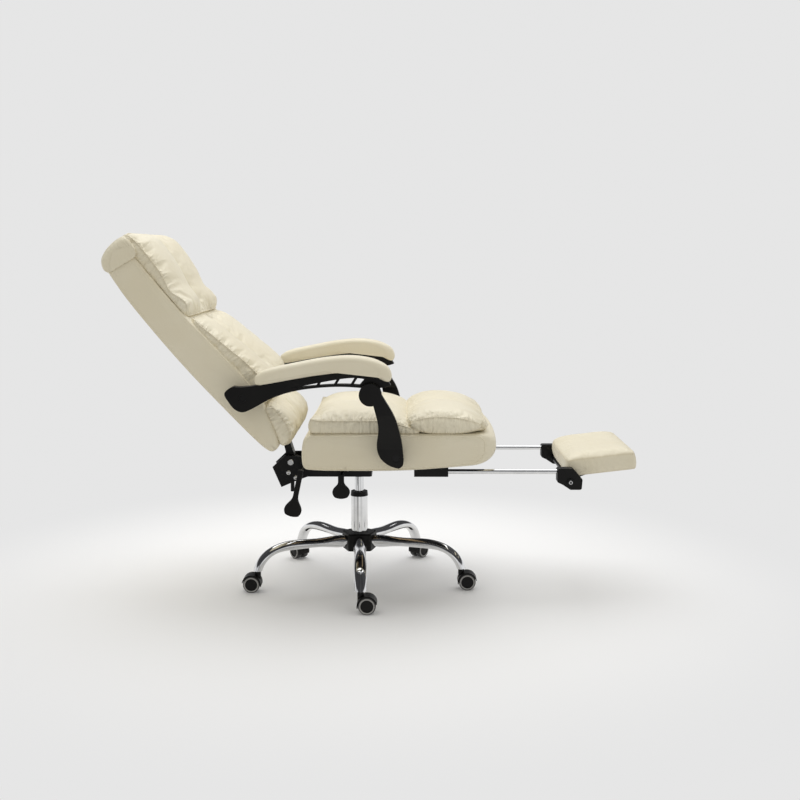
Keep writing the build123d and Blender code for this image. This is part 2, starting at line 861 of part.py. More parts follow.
# Back bracket: hub on the recline pin, cranked bar into the back and a tail rod
with BuildPart() as back_bracket:
    with BuildSketch(back_side):
        Circle(bracket_hub)
    extrude(amount=cheek_inner - rest_gap, both=True)
    with BuildSketch(back_side):
        with BuildLine():
            Polyline(
                (0, -bracket_hub + 3),
                (back_bottom - 8, bar_rear),
                (bar_top, bar_rear),
                (bar_top, bar_front),
                (back_bottom - 20, bar_front),
                (-2, bracket_hub - 2),
                close=True,
            )
        make_face()
    extrude(amount=bar_half, both=True)
    with BuildSketch(Plane(origin=pivot, x_dir=(1, 0, 0), z_dir=(0, 0, -1))):
        Circle(tail_radius)
    extrude(amount=tail_length)
    with BuildSketch(back_side):
        Circle(pivot_radius + running_fit)
    extrude(amount=2 * mech_half, both=True, mode=Mode.SUBTRACT)
keep(back_bracket, "back_bracket")

# Inner panel of the back, let into the front of the shell
with BuildPart() as back_panel:
    with BuildSketch(back_face.offset(shell_front - panel_thickness)):
        with Locations((0, (panel_low + panel_high) / 2)):
            RectangleRounded(2 * panel_half, panel_high - panel_low, mech_corner)
    extrude(amount=panel_thickness)
keep(back_panel, "back_panel")

# Upholstered back shell: bowed rear, slanted foot, rounded shoulders
with BuildPart() as back_shell:
    with BuildSketch(back_side):
        with BuildLine():
            ThreePointArc(
                (back_bottom, shell_rear_foot),
                ((back_bottom + back_top) / 2, shell_rear_bow),
                (back_top - 14, shell_rear_top),
            )
            ThreePointArc(
                (back_top - 14, shell_rear_top),
                (back_top, (shell_rear_top + shell_front) / 2),
                (back_top - 14, shell_front),
            )
            Line((back_top - 14, shell_front), (shell_slant_high, shell_front))
            Line((shell_slant_high, shell_front), (shell_slant_low, shell_foot_front))
            Line((shell_slant_low, shell_foot_front), (back_bottom, shell_face(shell_slant_low) - 12))
            Line((back_bottom, shell_face(shell_slant_low) - 12), (back_bottom, shell_rear_foot))
        make_face()
    extrude(amount=back_half, both=True)
    flanks = back_shell.faces().filter_by(Axis.Y).sort_by(Axis.Y)
    fillet(flanks[0].edges() + flanks[-1].edges(), radius=shell_edge)
    with BuildSketch(back_face.offset(-shell_corner)):
        with Locations((0, (back_bottom + back_top) / 2)):
            RectangleRounded(2 * back_half, back_top - back_bottom, shell_corner)
    extrude(amount=4 * shell_corner, mode=Mode.INTERSECT)
    with BuildSketch(back_face.offset(shell_front - panel_thickness)):
        with Locations((0, (panel_low + panel_high) / 2)):
            RectangleRounded(2 * panel_half, panel_high - panel_low, mech_corner)
    extrude(amount=panel_thickness + 1, mode=Mode.SUBTRACT)
    with BuildSketch(back_side):
        with BuildLine():
            Polyline(
                (back_bottom - 8, bar_rear),
                (bar_top, bar_rear),
                (bar_top, bar_front),
                (back_bottom - 8, bar_front),
                close=True,
            )
        make_face()
    extrude(amount=bar_half, both=True, mode=Mode.SUBTRACT)
    with BuildSketch(side_plane(back_half)):
        with Locations((arm_pivot_x, arm_pivot_z)):
            Circle(arm_bolt_radius)
    extrude(amount=arm_bolt_depth, mode=Mode.SUBTRACT)
    with BuildSketch(side_plane(arm_bolt_depth - back_half)):
        with Locations((arm_pivot_x, arm_pivot_z)):
            Circle(arm_bolt_radius)
    extrude(amount=arm_bolt_depth, mode=Mode.SUBTRACT)
keep(back_shell, "back_shell")

# Headrest and back pillows, each with two lobes and a middle valley
headrest_form = (
    (pillow_split + 4, 32.0, 9.0, 15.0, 8.0),
    (pillow_split + 34, 16.0, 20.0, 29.0, 16.0),
    (pillow_split + 136, 10.0, 23.0, 42.0, 34.0),
    (pillow_split + 206, 10.0, 27.0, 52.0, 41.0),
    (pillow_split + 264, 18.0, 24.0, 46.0, 38.0),
    (pillow_split + 294, 36.0, 10.0, 20.0, 15.0),
)
headrest_pillow = cushion(
    [
        (
            back_station(a),
            back_half - inset,
            shell_front + rest_gap,
            shell_front + edge,
            shell_front + crest,
            shell_front + valley,
        )
        for a, inset, edge, crest, valley in headrest_form
    ],
    cushion_draw,
)
keep(headrest_pillow, "headrest_pillow")

back_pillow_form = (
    (shell_slant_high + 2, 36.0, 14.0, 24.0, 10.0),
    (shell_slant_high + 40, 16.0, 36.0, 58.0, 24.0),
    (shell_slant_high + 115, 12.0, 38.0, 57.0, 20.0),
    (shell_slant_high + 210, 14.0, 25.0, 39.0, 12.0),
    (pillow_split - 38, 22.0, 15.0, 24.0, 8.0),
    (pillow_split - 4, 36.0, 7.0, 12.0, 4.0),
)
back_pillow = cushion(
    [
        (
            back_station(a),
            back_half - inset,
            shell_front + rest_gap,
            shell_front + edge,
            shell_front + crest,
            shell_front + valley,
        )
        for a, inset, edge, crest, valley in back_pillow_form
    ],
    cushion_draw,
)
keep(back_pillow, "back_pillow")

# Soft lower pad of the back, squeezed against the seat when the back comes up
lower_pad_form = (
    (back_bottom - 6, 26.0, 34.0, 45.0, 28.0),
    (back_bottom + 9, 18.0, 45.0, 62.0, 40.0),
    (back_bottom + 39, 14.0, 44.0, 60.0, 36.0),
    (back_bottom + 79, 16.0, 34.0, 46.0, 24.0),
    (shell_slant_high - 1, 34.0, 14.0, 24.0, 10.0),
)
lower_back_pad = cushion(
    [
        (
            back_station(a),
            back_half - inset,
            shell_face(a) + rest_gap,
            shell_face(a) + edge,
            shell_face(a) + crest,
            shell_face(a) + valley,
        )
        for a, inset, edge, crest, valley in lower_pad_form
    ],
    cushion_draw,
)
keep(lower_back_pad, "lower_back_pad")

# Bolts that hang the arms on the sides of the back
with BuildPart() as arm_bolts:
    for side in (1, -1):
        shank_in = back_half - arm_bolt_depth
        shank_out = arm_outer - arm_bolt_sink
        with BuildSketch(side_plane(max(side * shank_in, side * shank_out))):
            with Locations((arm_pivot_x, arm_pivot_z)):
                Circle(arm_bolt_radius)
        extrude(amount=shank_out - shank_in)
        head_out = shank_out + arm_bolt_sink - 2
        with BuildSketch(side_plane(max(side * shank_out, side * head_out))):
            with Locations((arm_pivot_x, arm_pivot_z)):
                Circle(arm_bolt_head)
        extrude(amount=head_out - shank_out)
keep(arm_bolts, "arm_bolts")

# Bolts that hang the struts on the sides of the seat
with BuildPart() as strut_bolts:
    for side in (1, -1):
        shank_in = seat_half - strut_bolt_depth
        shank_out = strut_foot_outer - strut_bolt_sink
        with BuildSketch(side_plane(max(side * shank_in, side * shank_out))):
            with Locations((strut_pivot_x, strut_pivot_z)):
                Circle(strut_bolt_radius)
        extrude(amount=shank_out - shank_in)
        head_out = shank_out + strut_bolt_sink - 2
        with BuildSketch(side_plane(max(side * shank_out, side * head_out))):
            with Locations((strut_pivot_x, strut_pivot_z)):
                Circle(strut_bolt_head)
        extrude(amount=head_out - shank_out)
keep(strut_bolts, "strut_bolts")

# Upper edge of the arm frame, which the pad sits on, from rear to front
arm_crown = (
    (arm_pivot_x + 40, arm_pivot_z + 37),
    (arm_pivot_x + 130, arm_pivot_z + 53),
    (arm_joint_x - 95, arm_joint_z + 58),
    (arm_joint_x - 36, arm_joint_z + 63),
    (arm_joint_x + 49, arm_joint_z + 34),
)
arm_crown_ends = ((0.985, 0.17), (0.83, -0.56))
# Lower edge of the arm frame from front to rear, then round its rear blade
arm_sole = (
    (arm_joint_x + 56, arm_joint_z + 24),
    (arm_joint_x + 20, arm_joint_z + 16),
    (arm_joint_x - 60, arm_joint_z + 19),
    (arm_joint_x - 140, arm_joint_z + 17),
    (arm_joint_x - 210, arm_joint_z + 7),
    (arm_pivot_x + 68, arm_pivot_z - 5),
    (arm_pivot_x + 18, arm_pivot_z - 32),
    (arm_pivot_x - 4, arm_pivot_z - 38),
    (arm_pivot_x - 24, arm_pivot_z - 29),
    (arm_pivot_x - 42, arm_pivot_z - 6),
    (arm_pivot_x - 50, arm_pivot_z + 14),
    (arm_pivot_x - 34, arm_pivot_z + 29),
    (arm_pivot_x + 40, arm_pivot_z + 37),
)
for side, name in ((1, "left"), (-1, "right")):
    # Moulded arm frame with slanted windows between thin ribs
    with BuildPart() as arm_frame:
        with BuildSketch(side_plane(max(side * arm_inner, side * arm_outer))):
            with BuildLine():
                Spline(*arm_crown, tangents=arm_crown_ends)
                Line(arm_crown[-1], arm_sole[0])
                Spline(*arm_sole, tangents=((-0.9, -0.43), arm_crown_ends[0]))
            make_face()
            with Locations((arm_joint_x, arm_joint_z)):
                Circle(arm_eye)
        extrude(amount=arm_outer - arm_inner)
        outer_face = arm_frame.faces().sort_by(Axis.Y)[-1 if side > 0 else 0]
        fillet(outer_face.edges(), radius=arm_edge)
        with BuildSketch(side_plane(max(side * arm_inner, side * arm_outer))):
            with BuildLine():
                Spline(
                    (window_rear, arm_joint_z + 17),
                    (arm_joint_x - 140, arm_joint_z + 49 - arm_rail),
                    (arm_joint_x - 95, arm_joint_z + 57 - arm_rail),
                    (arm_joint_x - 36, arm_joint_z + 62 - arm_rail),
                    (arm_joint_x - 16, arm_joint_z + 59 - arm_rail),
                )
                Line(
                    (arm_joint_x - 16, arm_joint_z + 59 - arm_rail),
                    (arm_joint_x - 30, arm_joint_z + 18 + arm_rail_low),
                )
                Spline(
                    (arm_joint_x - 30, arm_joint_z + 18 + arm_rail_low),
                    (arm_joint_x - 70, arm_joint_z + 20 + arm_rail_low),
                    (arm_joint_x - 140, arm_joint_z + 17 + arm_rail_low),
                    (window_rear, arm_joint_z + 10 + arm_rail_low),
                )
                Line((window_rear, arm_joint_z + 10 + arm_rail_low), (window_rear, arm_joint_z + 17))
            make_face()
            for i in range(1, window_count):
                with Locations((window_rear + i * rib_pitch - 20, arm_joint_z + 30)):
                    Rectangle(rib_width, 120, rotation=rib_lean, mode=Mode.SUBTRACT)
        extrude(amount=arm_outer - arm_inner, mode=Mode.SUBTRACT)
        spacer_in = back_half + side_gap
        with BuildSketch(side_plane(max(side * spacer_in, side * arm_inner))):
            with Locations((arm_pivot_x, arm_pivot_z)):
                Circle(arm_spacer)
        extrude(amount=arm_inner - spacer_in)
        with BuildSketch(side_plane(max(side * spacer_in, side * arm_outer))):
            with Locations((arm_pivot_x, arm_pivot_z)):
                Circle(arm_bolt_radius + running_fit)
        extrude(amount=arm_outer - spacer_in, mode=Mode.SUBTRACT)
        sink_in = arm_outer - arm_bolt_sink - rest_gap
        with BuildSketch(side_plane(max(side * sink_in, side * arm_outer))):
            with Locations((arm_pivot_x, arm_pivot_z)):
                Circle(arm_bolt_head + rest_gap)
        extrude(amount=arm_outer - sink_in, mode=Mode.SUBTRACT)
        with BuildSketch(side_plane(max(side * arm_inner, side * arm_outer))):
            with Locations((arm_joint_x, arm_joint_z)):
                Circle(joint_pin_radius + joint_play)
        extrude(amount=arm_outer - arm_inner, mode=Mode.SUBTRACT)
    keep(arm_frame, f"arm_frame_{name}")

    # Arm pad along the frame's upper edge, drawn in at both sides
    arm_mid = (arm_inner + arm_outer) / 2
    with BuildPart() as arm_pad:
        for offset_y, inset in ((-1, arm_pad_draw), (-0.6, 0), (0.6, 0), (1, arm_pad_draw)):
            with BuildSketch(side_plane(side * arm_mid - offset_y * arm_pad_half)):
                with BuildLine():
                    Spline(*arm_crown, tangents=arm_crown_ends)
                    ThreePointArc(
                        arm_crown[4],
                        (arm_joint_x + 52 - inset, arm_joint_z + 70 - inset / 2),
                        (arm_joint_x + 12 - inset, arm_joint_z + 94 - inset),
                    )
                    ThreePointArc(
                        (arm_joint_x + 12 - inset, arm_joint_z + 94 - inset),
                        (arm_joint_x - 56, arm_joint_z + 103 - inset),
                        (arm_joint_x - 192, arm_joint_z + 82 - inset),
                    )
                    ThreePointArc(
                        (arm_joint_x - 192, arm_joint_z + 82 - inset),
                        (arm_joint_x - 276 + inset, arm_joint_z + 62 - inset),
                        arm_crown[0],
                    )
                make_face()
        loft(ruled=True)
    keep(arm_pad, f"arm_pad_{name}")

    # Strut from the seat's side up to the arm, bent inward at its foot
    with BuildPart() as arm_strut:
        strut_in = seat_half + side_gap
        with BuildSketch(side_plane(max(side * strut_in, side * strut_outer))):
            with BuildLine():
                Spline(
                    (arm_joint_x + 8, arm_joint_z - 29),
                    (strut_pivot_x - 53, strut_pivot_z + 121),
                    (strut_pivot_x - 48, strut_pivot_z + 86),
                    (strut_pivot_x - 53, strut_pivot_z + 34),
                    (strut_pivot_x - 45, strut_pivot_z + 4),
                    (strut_pivot_x - 14, strut_pivot_z - 22),
                    (strut_pivot_x + 8, strut_pivot_z - 28),
                )
                Spline(
                    (strut_pivot_x + 8, strut_pivot_z - 28),
                    (strut_pivot_x + 19, strut_pivot_z - 18),
                    (strut_pivot_x + 20, strut_pivot_z + 4),
                    (strut_pivot_x + 16, strut_pivot_z + 42),
                    (strut_pivot_x + 8, strut_pivot_z + 82),
                    (strut_pivot_x - 4, strut_pivot_z + 122),
                    (arm_joint_x + 48, arm_joint_z - 28),
                    (arm_joint_x + 30, arm_joint_z + 2),
                )
                Line((arm_joint_x + 30, arm_joint_z + 2), (arm_joint_x, arm_joint_z))
                Line((arm_joint_x, arm_joint_z), (arm_joint_x + 8, arm_joint_z - 29))
            make_face()
            with Locations((arm_joint_x, arm_joint_z)):
                Circle(strut_head)
        extrude(amount=strut_outer - strut_in)
        with BuildSketch(Plane.YZ.offset(strut_pivot_x - 200)):
            with BuildLine():
                Polyline(
                    (side * strut_inner, arm_joint_z + 60),
                    (side * strut_outer, arm_joint_z + 60),
                    (side * strut_outer, strut_bend_high),
                    (side * strut_foot_outer, strut_bend_low),
                    (side * strut_foot_outer, strut_pivot_z - 60),
                    (side * strut_in, strut_pivot_z - 60),
                    (side * strut_in, strut_bend_low),
                    (side * strut_inner, strut_bend_high),
                    close=True,
                )
            make_face()
        extrude(amount=400, mode=Mode.INTERSECT)
        with BuildSketch(side_plane(max(side * strut_in, side * strut_foot_outer))):
            with Locations((strut_pivot_x, strut_pivot_z)):
                Circle(strut_bolt_radius + running_fit)
        extrude(amount=strut_foot_outer - strut_in, mode=Mode.SUBTRACT)
        sink_in = strut_foot_outer - strut_bolt_sink - rest_gap
        with BuildSketch(side_plane(max(side * sink_in, side * strut_foot_outer))):
            with Locations((strut_pivot_x, strut_pivot_z)):
                Circle(strut_bolt_head + rest_gap)
        extrude(amount=strut_foot_outer - sink_in, mode=Mode.SUBTRACT)
    keep(arm_strut, f"arm_strut_{name}")

    # Pivot pin of the strut, loose in the eye of the arm
    with BuildPart() as arm_joint_pin:
        with BuildSketch(side_plane(max(side * arm_inner, side * strut_inner))):
            with Locations((arm_joint_x, arm_joint_z)):
                Circle(joint_pin_radius)
        extrude(amount=strut_inner - arm_inner)
    keep(arm_joint_pin, f"arm_joint_pin_{name}")

    # Guide block under the seat that the footrest rail slides in
    guide_in = rod_spread - guide_half
    guide_out = rod_spread + guide_half
    with BuildPart() as footrest_guide:
        with BuildSketch(side_plane(max(side * guide_in, side * guide_out))):
            with BuildLine():
                Polyline(
                    (guide_rear, guide_bottom),
                    (guide_front, guide_bottom),
                    (guide_front, underside(guide_lip) - 6),
                    (guide_lip, underside(guide_lip) - 4),
                    (guide_lip, underside(guide_lip)),
                    (guide_rear, underside(guide_rear)),
                    close=True,
                )
            make_face()
        extrude(amount=guide_out - guide_in)
        with BuildSketch(Plane.YZ.offset(guide_rear)):
            with Locations((side * rod_spread, rod_z)):
                Circle(rail_radius + running_fit)
        extrude(amount=guide_lip - guide_rear, mode=Mode.SUBTRACT)
    keep(footrest_guide, f"footrest_guide_{name}")

    # Footrest rail
    with BuildPart() as footrest_rail:
        with BuildSketch(Plane.YZ.offset(rail_rear)):
            with Locations((side * rod_spread, rod_z)):
                Circle(rail_radius)
        extrude(amount=bracket_rear + rail_socket - rail_rear)
    keep(footrest_rail, f"footrest_rail_{name}")

    # Bracket on the rail's front end that carries the footrest's pivot
    with BuildPart() as footrest_bracket:
        with BuildSketch(side_plane(max(side * bracket_inner, side * bracket_outer))):
            with BuildLine():
                Polyline(
                    (bracket_rear, bracket_top),
                    (foot_pivot_x + 7, bracket_top),
                    (bracket_front, foot_pivot_z + 8),
                    (bracket_front - 2, bracket_bottom),
                    (foot_pivot_x, bracket_bottom),
                    (foot_pivot_x - 23, foot_pivot_z - 7),
                    (bracket_rear, foot_pivot_z),
                    close=True,
                )
            make_face()
            fillet(vertices(), radius=6)
        extrude(amount=bracket_outer - bracket_inner)
        with BuildSketch(Plane.YZ.offset(bracket_rear)):
            with Locations((side * rod_spread, rod_z)):
                Circle(rail_radius)
        extrude(amount=rail_socket, mode=Mode.SUBTRACT)
        with BuildSketch(side_plane(max(side * bracket_inner, side * bracket_outer))):
            with Locations((foot_pivot_x, foot_pivot_z)):
                Circle(foot_pivot_radius + running_fit)
        extrude(amount=bracket_outer - bracket_inner, mode=Mode.SUBTRACT)
    keep(footrest_bracket, f"footrest_bracket_{name}")

# Pivot shaft of the footrest, headed outside both brackets
with BuildPart() as footrest_shaft:
    with BuildSketch(side_plane(bracket_outer)):
        with Locations((foot_pivot_x, foot_pivot_z)):
            Circle(foot_pivot_radius)
    extrude(amount=2 * bracket_outer)
    with BuildSketch(side_plane(bracket_outer + foot_head_height)):
        with Locations((foot_pivot_x, foot_pivot_z)):
            Circle(foot_head_radius)
    extrude(amount=foot_head_height)
    with BuildSketch(side_plane(-bracket_outer)):
        with Locations((foot_pivot_x, foot_pivot_z)):
            Circle(foot_head_radius)
    extrude(amount=foot_head_height)
keep(footrest_shaft, "footrest_shaft")

# Steel plate under the footrest cushion with two lugs on the shaft
with BuildPart() as footrest_plate:
    with BuildSketch(foot_side):
        with BuildLine():
            Polyline(
                (plate_rear, foot_base - plate_thickness),
                (plate_front, foot_base - plate_thickness),
                (plate_front, foot_base),
                (plate_rear, foot_base),
                close=True,
            )
        make_face()
    extrude(amount=plate_half, both=True)
    for side in (1, -1):
        lug_plane = foot_side.offset(-max(side * lug_inner, side * lug_outer))
        with BuildSketch(lug_plane):
            Circle(lug_eye)
            with BuildLine():
                Polyline(
                    (0, -lug_eye),
                    (plate_rear + 40, foot_base - plate_thickness),
                    (plate_rear + 40, foot_base),
                    (0, lug_eye),
                    close=True,
                )
            make_face()
        extrude(amount=lug_outer - lug_inner)
    with BuildSketch(foot_side):
        Circle(foot_pivot_radius + running_fit)
    extrude(amount=foot_half, both=True, mode=Mode.SUBTRACT)
keep(footrest_plate, "footrest_plate")

# Footrest cushion on its plate
foot_length = foot_front - foot_rear
foot_form = (
    (0.0, 10.0, 0.8, 0.72),
    (0.06, 2.0, 1.0, 0.92),
    (0.30, 0.0, 1.05, 1.0),
    (0.70, 0.0, 1.05, 1.0),
    (0.94, 2.0, 1.0, 0.94),
    (1.0, 10.0, 0.85, 0.78),
)
footrest_cushion = cushion(
    [
        (
            foot_station(foot_rear + share * foot_length),
            foot_half - inset,
            foot_base,
            foot_base + band * foot_band,
            foot_base + crown * foot_crest,
            foot_base + crown * foot_valley,
        )
        for share, inset, band, crown in foot_form
    ],
    cushion_draw,
)
keep(footrest_cushion, "footrest_cushion")
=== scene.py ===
# %% [markdown]
# # A reclining office chair with a footrest
# The CAD model is already packed: every rigid piece is there, with the joints that move it. This
# script gives the chair its looks. The metal and plastic pieces keep their CAD shape and get a
# finish. Everything that is upholstered is made again here as sewn and stuffed leather, in the place
# that the CAD solid holds.

import json
import math

import bpy
import numpy as np
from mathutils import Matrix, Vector


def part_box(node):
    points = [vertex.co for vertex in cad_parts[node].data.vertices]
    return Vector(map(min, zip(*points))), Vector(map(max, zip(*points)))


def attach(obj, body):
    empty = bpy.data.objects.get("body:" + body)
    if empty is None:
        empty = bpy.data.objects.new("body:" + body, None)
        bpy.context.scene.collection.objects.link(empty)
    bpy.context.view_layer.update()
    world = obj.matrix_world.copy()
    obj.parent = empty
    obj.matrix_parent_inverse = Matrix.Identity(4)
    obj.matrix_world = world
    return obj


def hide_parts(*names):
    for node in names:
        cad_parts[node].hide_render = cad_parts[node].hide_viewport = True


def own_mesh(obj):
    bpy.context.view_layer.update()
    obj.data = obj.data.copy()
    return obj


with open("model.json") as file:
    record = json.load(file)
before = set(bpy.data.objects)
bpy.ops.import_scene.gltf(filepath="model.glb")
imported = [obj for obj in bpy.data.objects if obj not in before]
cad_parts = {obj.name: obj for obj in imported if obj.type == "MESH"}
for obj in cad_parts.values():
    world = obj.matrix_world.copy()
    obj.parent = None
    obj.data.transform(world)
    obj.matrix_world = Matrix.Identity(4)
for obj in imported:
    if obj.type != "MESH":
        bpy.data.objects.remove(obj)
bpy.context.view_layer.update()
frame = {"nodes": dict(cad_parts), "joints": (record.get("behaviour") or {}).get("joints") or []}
MM = 0.001
FORWARD = np.array((1.0, 0.0, 0.0))
SIDEWAYS = np.array((0.0, 1.0, 0.0))
UPWARD = np.array((0.0, 0.0, 1.0))
joint_named = {joint["name"]: joint for joint in frame["joints"]}

# %% [markdown]
# ## Camera
# The photograph looks square at the chair's right side from a little over three metres. A camera is a
# focal length, a place and a heading. These come from matching known points of the chair with where
# the photograph shows them, so the render can be laid over it. The image is square, and the sensor is
# 36 mm wide.

# %% Camera at the photograph's angle
IMAGE_WIDTH = 800.0
FOCAL_PIXELS = 1135.8
CAMERA_PLACE = Vector((0.1544, -3.3916, 1.0046))
CAMERA_TURN = 0.0090
CAMERA_DIP = 0.1303
camera_data = bpy.data.cameras.new("photo_camera")
camera_data.sensor_width = 36.0
camera_data.lens = FOCAL_PIXELS / IMAGE_WIDTH * camera_data.sensor_width
camera = bpy.data.objects.new("photo_camera", camera_data)
bpy.context.scene.collection.objects.link(camera)
gaze = Vector(
    (
        -math.sin(CAMERA_TURN) * math.cos(CAMERA_DIP),
        math.cos(CAMERA_TURN) * math.cos(CAMERA_DIP),
        -math.sin(CAMERA_DIP),
    )
)
camera.location = CAMERA_PLACE
camera.rotation_mode = "QUATERNION"
camera.rotation_quaternion = gaze.to_track_quat("-Z", "Y")
bpy.context.scene.camera = camera
bpy.context.scene.view_settings.view_transform = "Standard"
print("lens", round(camera_data.lens, 2), "mm")

# %% [markdown]
# ## Shader arithmetic
# A material is a graph of nodes. Written node by node, a formula such as one minus a mask takes many
# lines, so a small class wraps an output socket: adding or multiplying two of them adds the Math node
# that does it. Any other node comes from its one method, which takes the node's kind, its settings
# and what goes into its sockets.


# %% A socket that can be calculated with
class Shade:
    """One output of a node tree. Python's operators on it add Math nodes."""

    def __init__(self, tree, socket=None):
        self.tree = tree
        self.socket = socket

    def node(self, kind, settings, inputs, output=0):
        """Add a node: its settings first, then a value or a link for each named socket."""
        made = self.tree.nodes.new(kind)
        for name, value in settings.items():
            setattr(made, name, value)
        for name, value in inputs.items():
            if isinstance(value, Shade):
                self.tree.links.new(value.socket, made.inputs[name])
            else:
                made.inputs[name].default_value = value
        return Shade(self.tree, made.outputs[output])

    def math(self, operation, first, second=0.0):
        """One Math node on two values or sockets."""
        return self.node("ShaderNodeMath", {"operation": operation}, {0: first, 1: second})

    def __add__(self, other):
        return self.math("ADD", self, other)

    __radd__ = __add__

    def __sub__(self, other):
        return self.math("SUBTRACT", self, other)

    def __rsub__(self, other):
        return self.math("SUBTRACT", other, self)

    def __mul__(self, other):
        return self.math("MULTIPLY", self, other)

    __rmul__ = __mul__

    def between(self, low, high):
        """0 below low, 1 above high and a smooth step from one to the other."""
        ends = {"Value": self, "From Min": low, "From Max": high}
        return self.node("ShaderNodeMapRange", {"interpolation_type": "SMOOTHSTEP"}, ends)

    def mix(self, colour, other):
        """From colour to other as this value goes from 0 to 1."""
        return self.node("ShaderNodeMix", {"data_type": "RGBA"}, {0: self, 6: colour, 7: other}, 2)


def new_finish(name, constants):
    """A material, its shader with the constant sockets set, and a Shade to build its nodes with."""
    material = bpy.data.materials.new(name)
    material.use_nodes = True
    shader = material.node_tree.nodes["Principled BSDF"]
    for socket, value in constants.items():
        shader.inputs[socket].default_value = value
    return material, shader, Shade(material.node_tree)


def feed(shader, socket, shade):
    """Link a Shade into one of the shader's sockets."""
    shade.tree.links.new(shade.socket, shader.inputs[socket])


# %% [markdown]
# ## Leather
# The chair is covered in soft cream synthetic leather. Close up it has a pebbled grain about a
# millimetre wide; further off one sees soft creases, and beside each seam a row of small gathers
# where the cover is eased into the stitching. Grain and creases can be read from Object coordinates.
# The gathers have to follow the seams, so each piece carries three attributes: the distance to the
# nearest seam, the run along it, and how much the cover is gathered there. The distance also sets
# painted shade: close to a seam the colour is darkened as if shade lay in it.

# %% Cream leather
CREAM = (0.86, 0.81, 0.665, 1.0)
CREAM_WORN = (0.83, 0.77, 0.61, 1.0)
# Painted shade: close to each seam the leather's colour is mixed towards this darker brown, as if shade
# lay in the seam.
SEAM_SHADE = (0.62, 0.54, 0.38, 1.0)
SEAM_SHARE = 0.6
SEAM_FADE = 420.0
GATHER_PITCH = 0.012
GATHER_REACH = 0.016
GATHER_SHIFT = 14.0
FOLD_SHARPNESS = 7.0
GRAIN_DEPTH = 0.00012


def leather_finish(name, gather_depth, crease_depth):
    """Leather: pebbled grain, soft creases, gathers that fade away from the seams, and painted shade that
    darkens the colour close to them.
    """
    constants = {"Specular IOR Level": 0.38, "Coat Weight": 0.05, "Coat Roughness": 0.4}
    material, shader, start = new_finish(name, constants)
    place = start.node("ShaderNodeTexCoord", {}, {}, "Object")
    gap = start.node("ShaderNodeAttribute", {"attribute_name": "seam_gap"}, {}, "Fac")
    run = start.node("ShaderNodeAttribute", {"attribute_name": "seam_run"}, {}, "Fac")
    share = start.node("ShaderNodeAttribute", {"attribute_name": "seam_wave"}, {}, "Fac")
    tone = start.node("ShaderNodeTexNoise", {}, {"Vector": place, "Scale": 5.0, "Detail": 3.0})
    crease = start.node(
        "ShaderNodeTexNoise",
        {},
        {"Vector": place, "Scale": 24.0, "Detail": 3.0, "Distortion": 0.9},
    )
    grain = start.node(
        "ShaderNodeTexVoronoi", {"feature": "SMOOTH_F1"}, {"Vector": place, "Scale": 700.0}
    )
    fold = 1.0 - start.math("ABSOLUTE", crease - 0.5) * FOLD_SHARPNESS
    fold = start.math("MAXIMUM", fold, 0.0)
    near = start.math("EXPONENT", gap * (-1.0 / GATHER_REACH))
    wave = start.math("SINE", run * (2.0 * math.pi / GATHER_PITCH) + crease * GATHER_SHIFT)
    height = wave * near * share * gather_depth + fold * crease_depth + grain * GRAIN_DEPTH
    relief = start.node("ShaderNodeBump", {}, {"Strength": 1.0, "Distance": 1.0, "Height": height})
    feed(shader, "Normal", relief)
    body_colour = tone.between(0.3, 0.7).mix(CREAM, CREAM_WORN)
    # Painted shade along the seams: the colour goes towards SEAM_SHADE as the distance to a seam falls.
    close = start.math("EXPONENT", gap * -SEAM_FADE)
    feed(shader, "Base Color", (close * SEAM_SHARE).mix(body_colour, SEAM_SHADE))
    feed(shader, "Roughness", 0.40 + tone * 0.12 + grain * 0.08)
    return material


leather = leather_finish("cream_leather", gather_depth=0.0011, crease_depth=0.0005)
smooth_leather = leather_finish("cream_leather_smooth", gather_depth=0.0005, crease_depth=0.00022)
print("made", leather.name, "and", smooth_leather.name)

# %% [markdown]
# ## Plastic, steel and chrome
# The arms, struts and levers are moulded nylon with a fine spark texture, nearly black and only
# softly shiny. The mechanism is painted steel. Legs, column and rails are chromed, so what one sees
# on them is the room: a little haze in the roughness is all that they need.


# %% Hard finishes
def moulded_finish(name, colour, low, high, grain_scale, grain_depth):
    """Moulded plastic or paint: two close tones, a roughness from low to high, and a fine texture."""
    material, shader, start = new_finish(name, {"Specular IOR Level": 0.22})
    place = start.node("ShaderNodeTexCoord", {}, {}, "Object")
    tone = start.node("ShaderNodeTexNoise", {}, {"Vector": place, "Scale": 14.0, "Detail": 4.0})
    grain = start.node("ShaderNodeTexNoise", {}, {"Vector": place, "Scale": grain_scale, "Detail": 2.0})
    dark = tuple(0.75 * c for c in colour[:3]) + (1.0,)
    feed(shader, "Base Color", tone.between(0.3, 0.7).mix(colour, dark))
    feed(shader, "Roughness", low + tone * (high - low))
    relief = {"Strength": 0.6, "Distance": grain_depth, "Height": grain}
    feed(shader, "Normal", start.node("ShaderNodeBump", {}, relief))
    return material


def metal_finish(name, colour, low, high):
    """Metal: a roughness from low to high in soft patches."""
    material, shader, start = new_finish(name, {"Metallic": 1.0})
    place = start.node("ShaderNodeTexCoord", {}, {}, "Object")
    haze = start.node("ShaderNodeTexNoise", {}, {"Vector": place, "Scale": 30.0, "Detail": 4.0})
    dull = tuple(0.9 * c for c in colour[:3]) + (1.0,)
    feed(shader, "Base Color", haze.between(0.35, 0.75).mix(colour, dull))
    feed(shader, "Roughness", low + haze * (high - low))
    return material


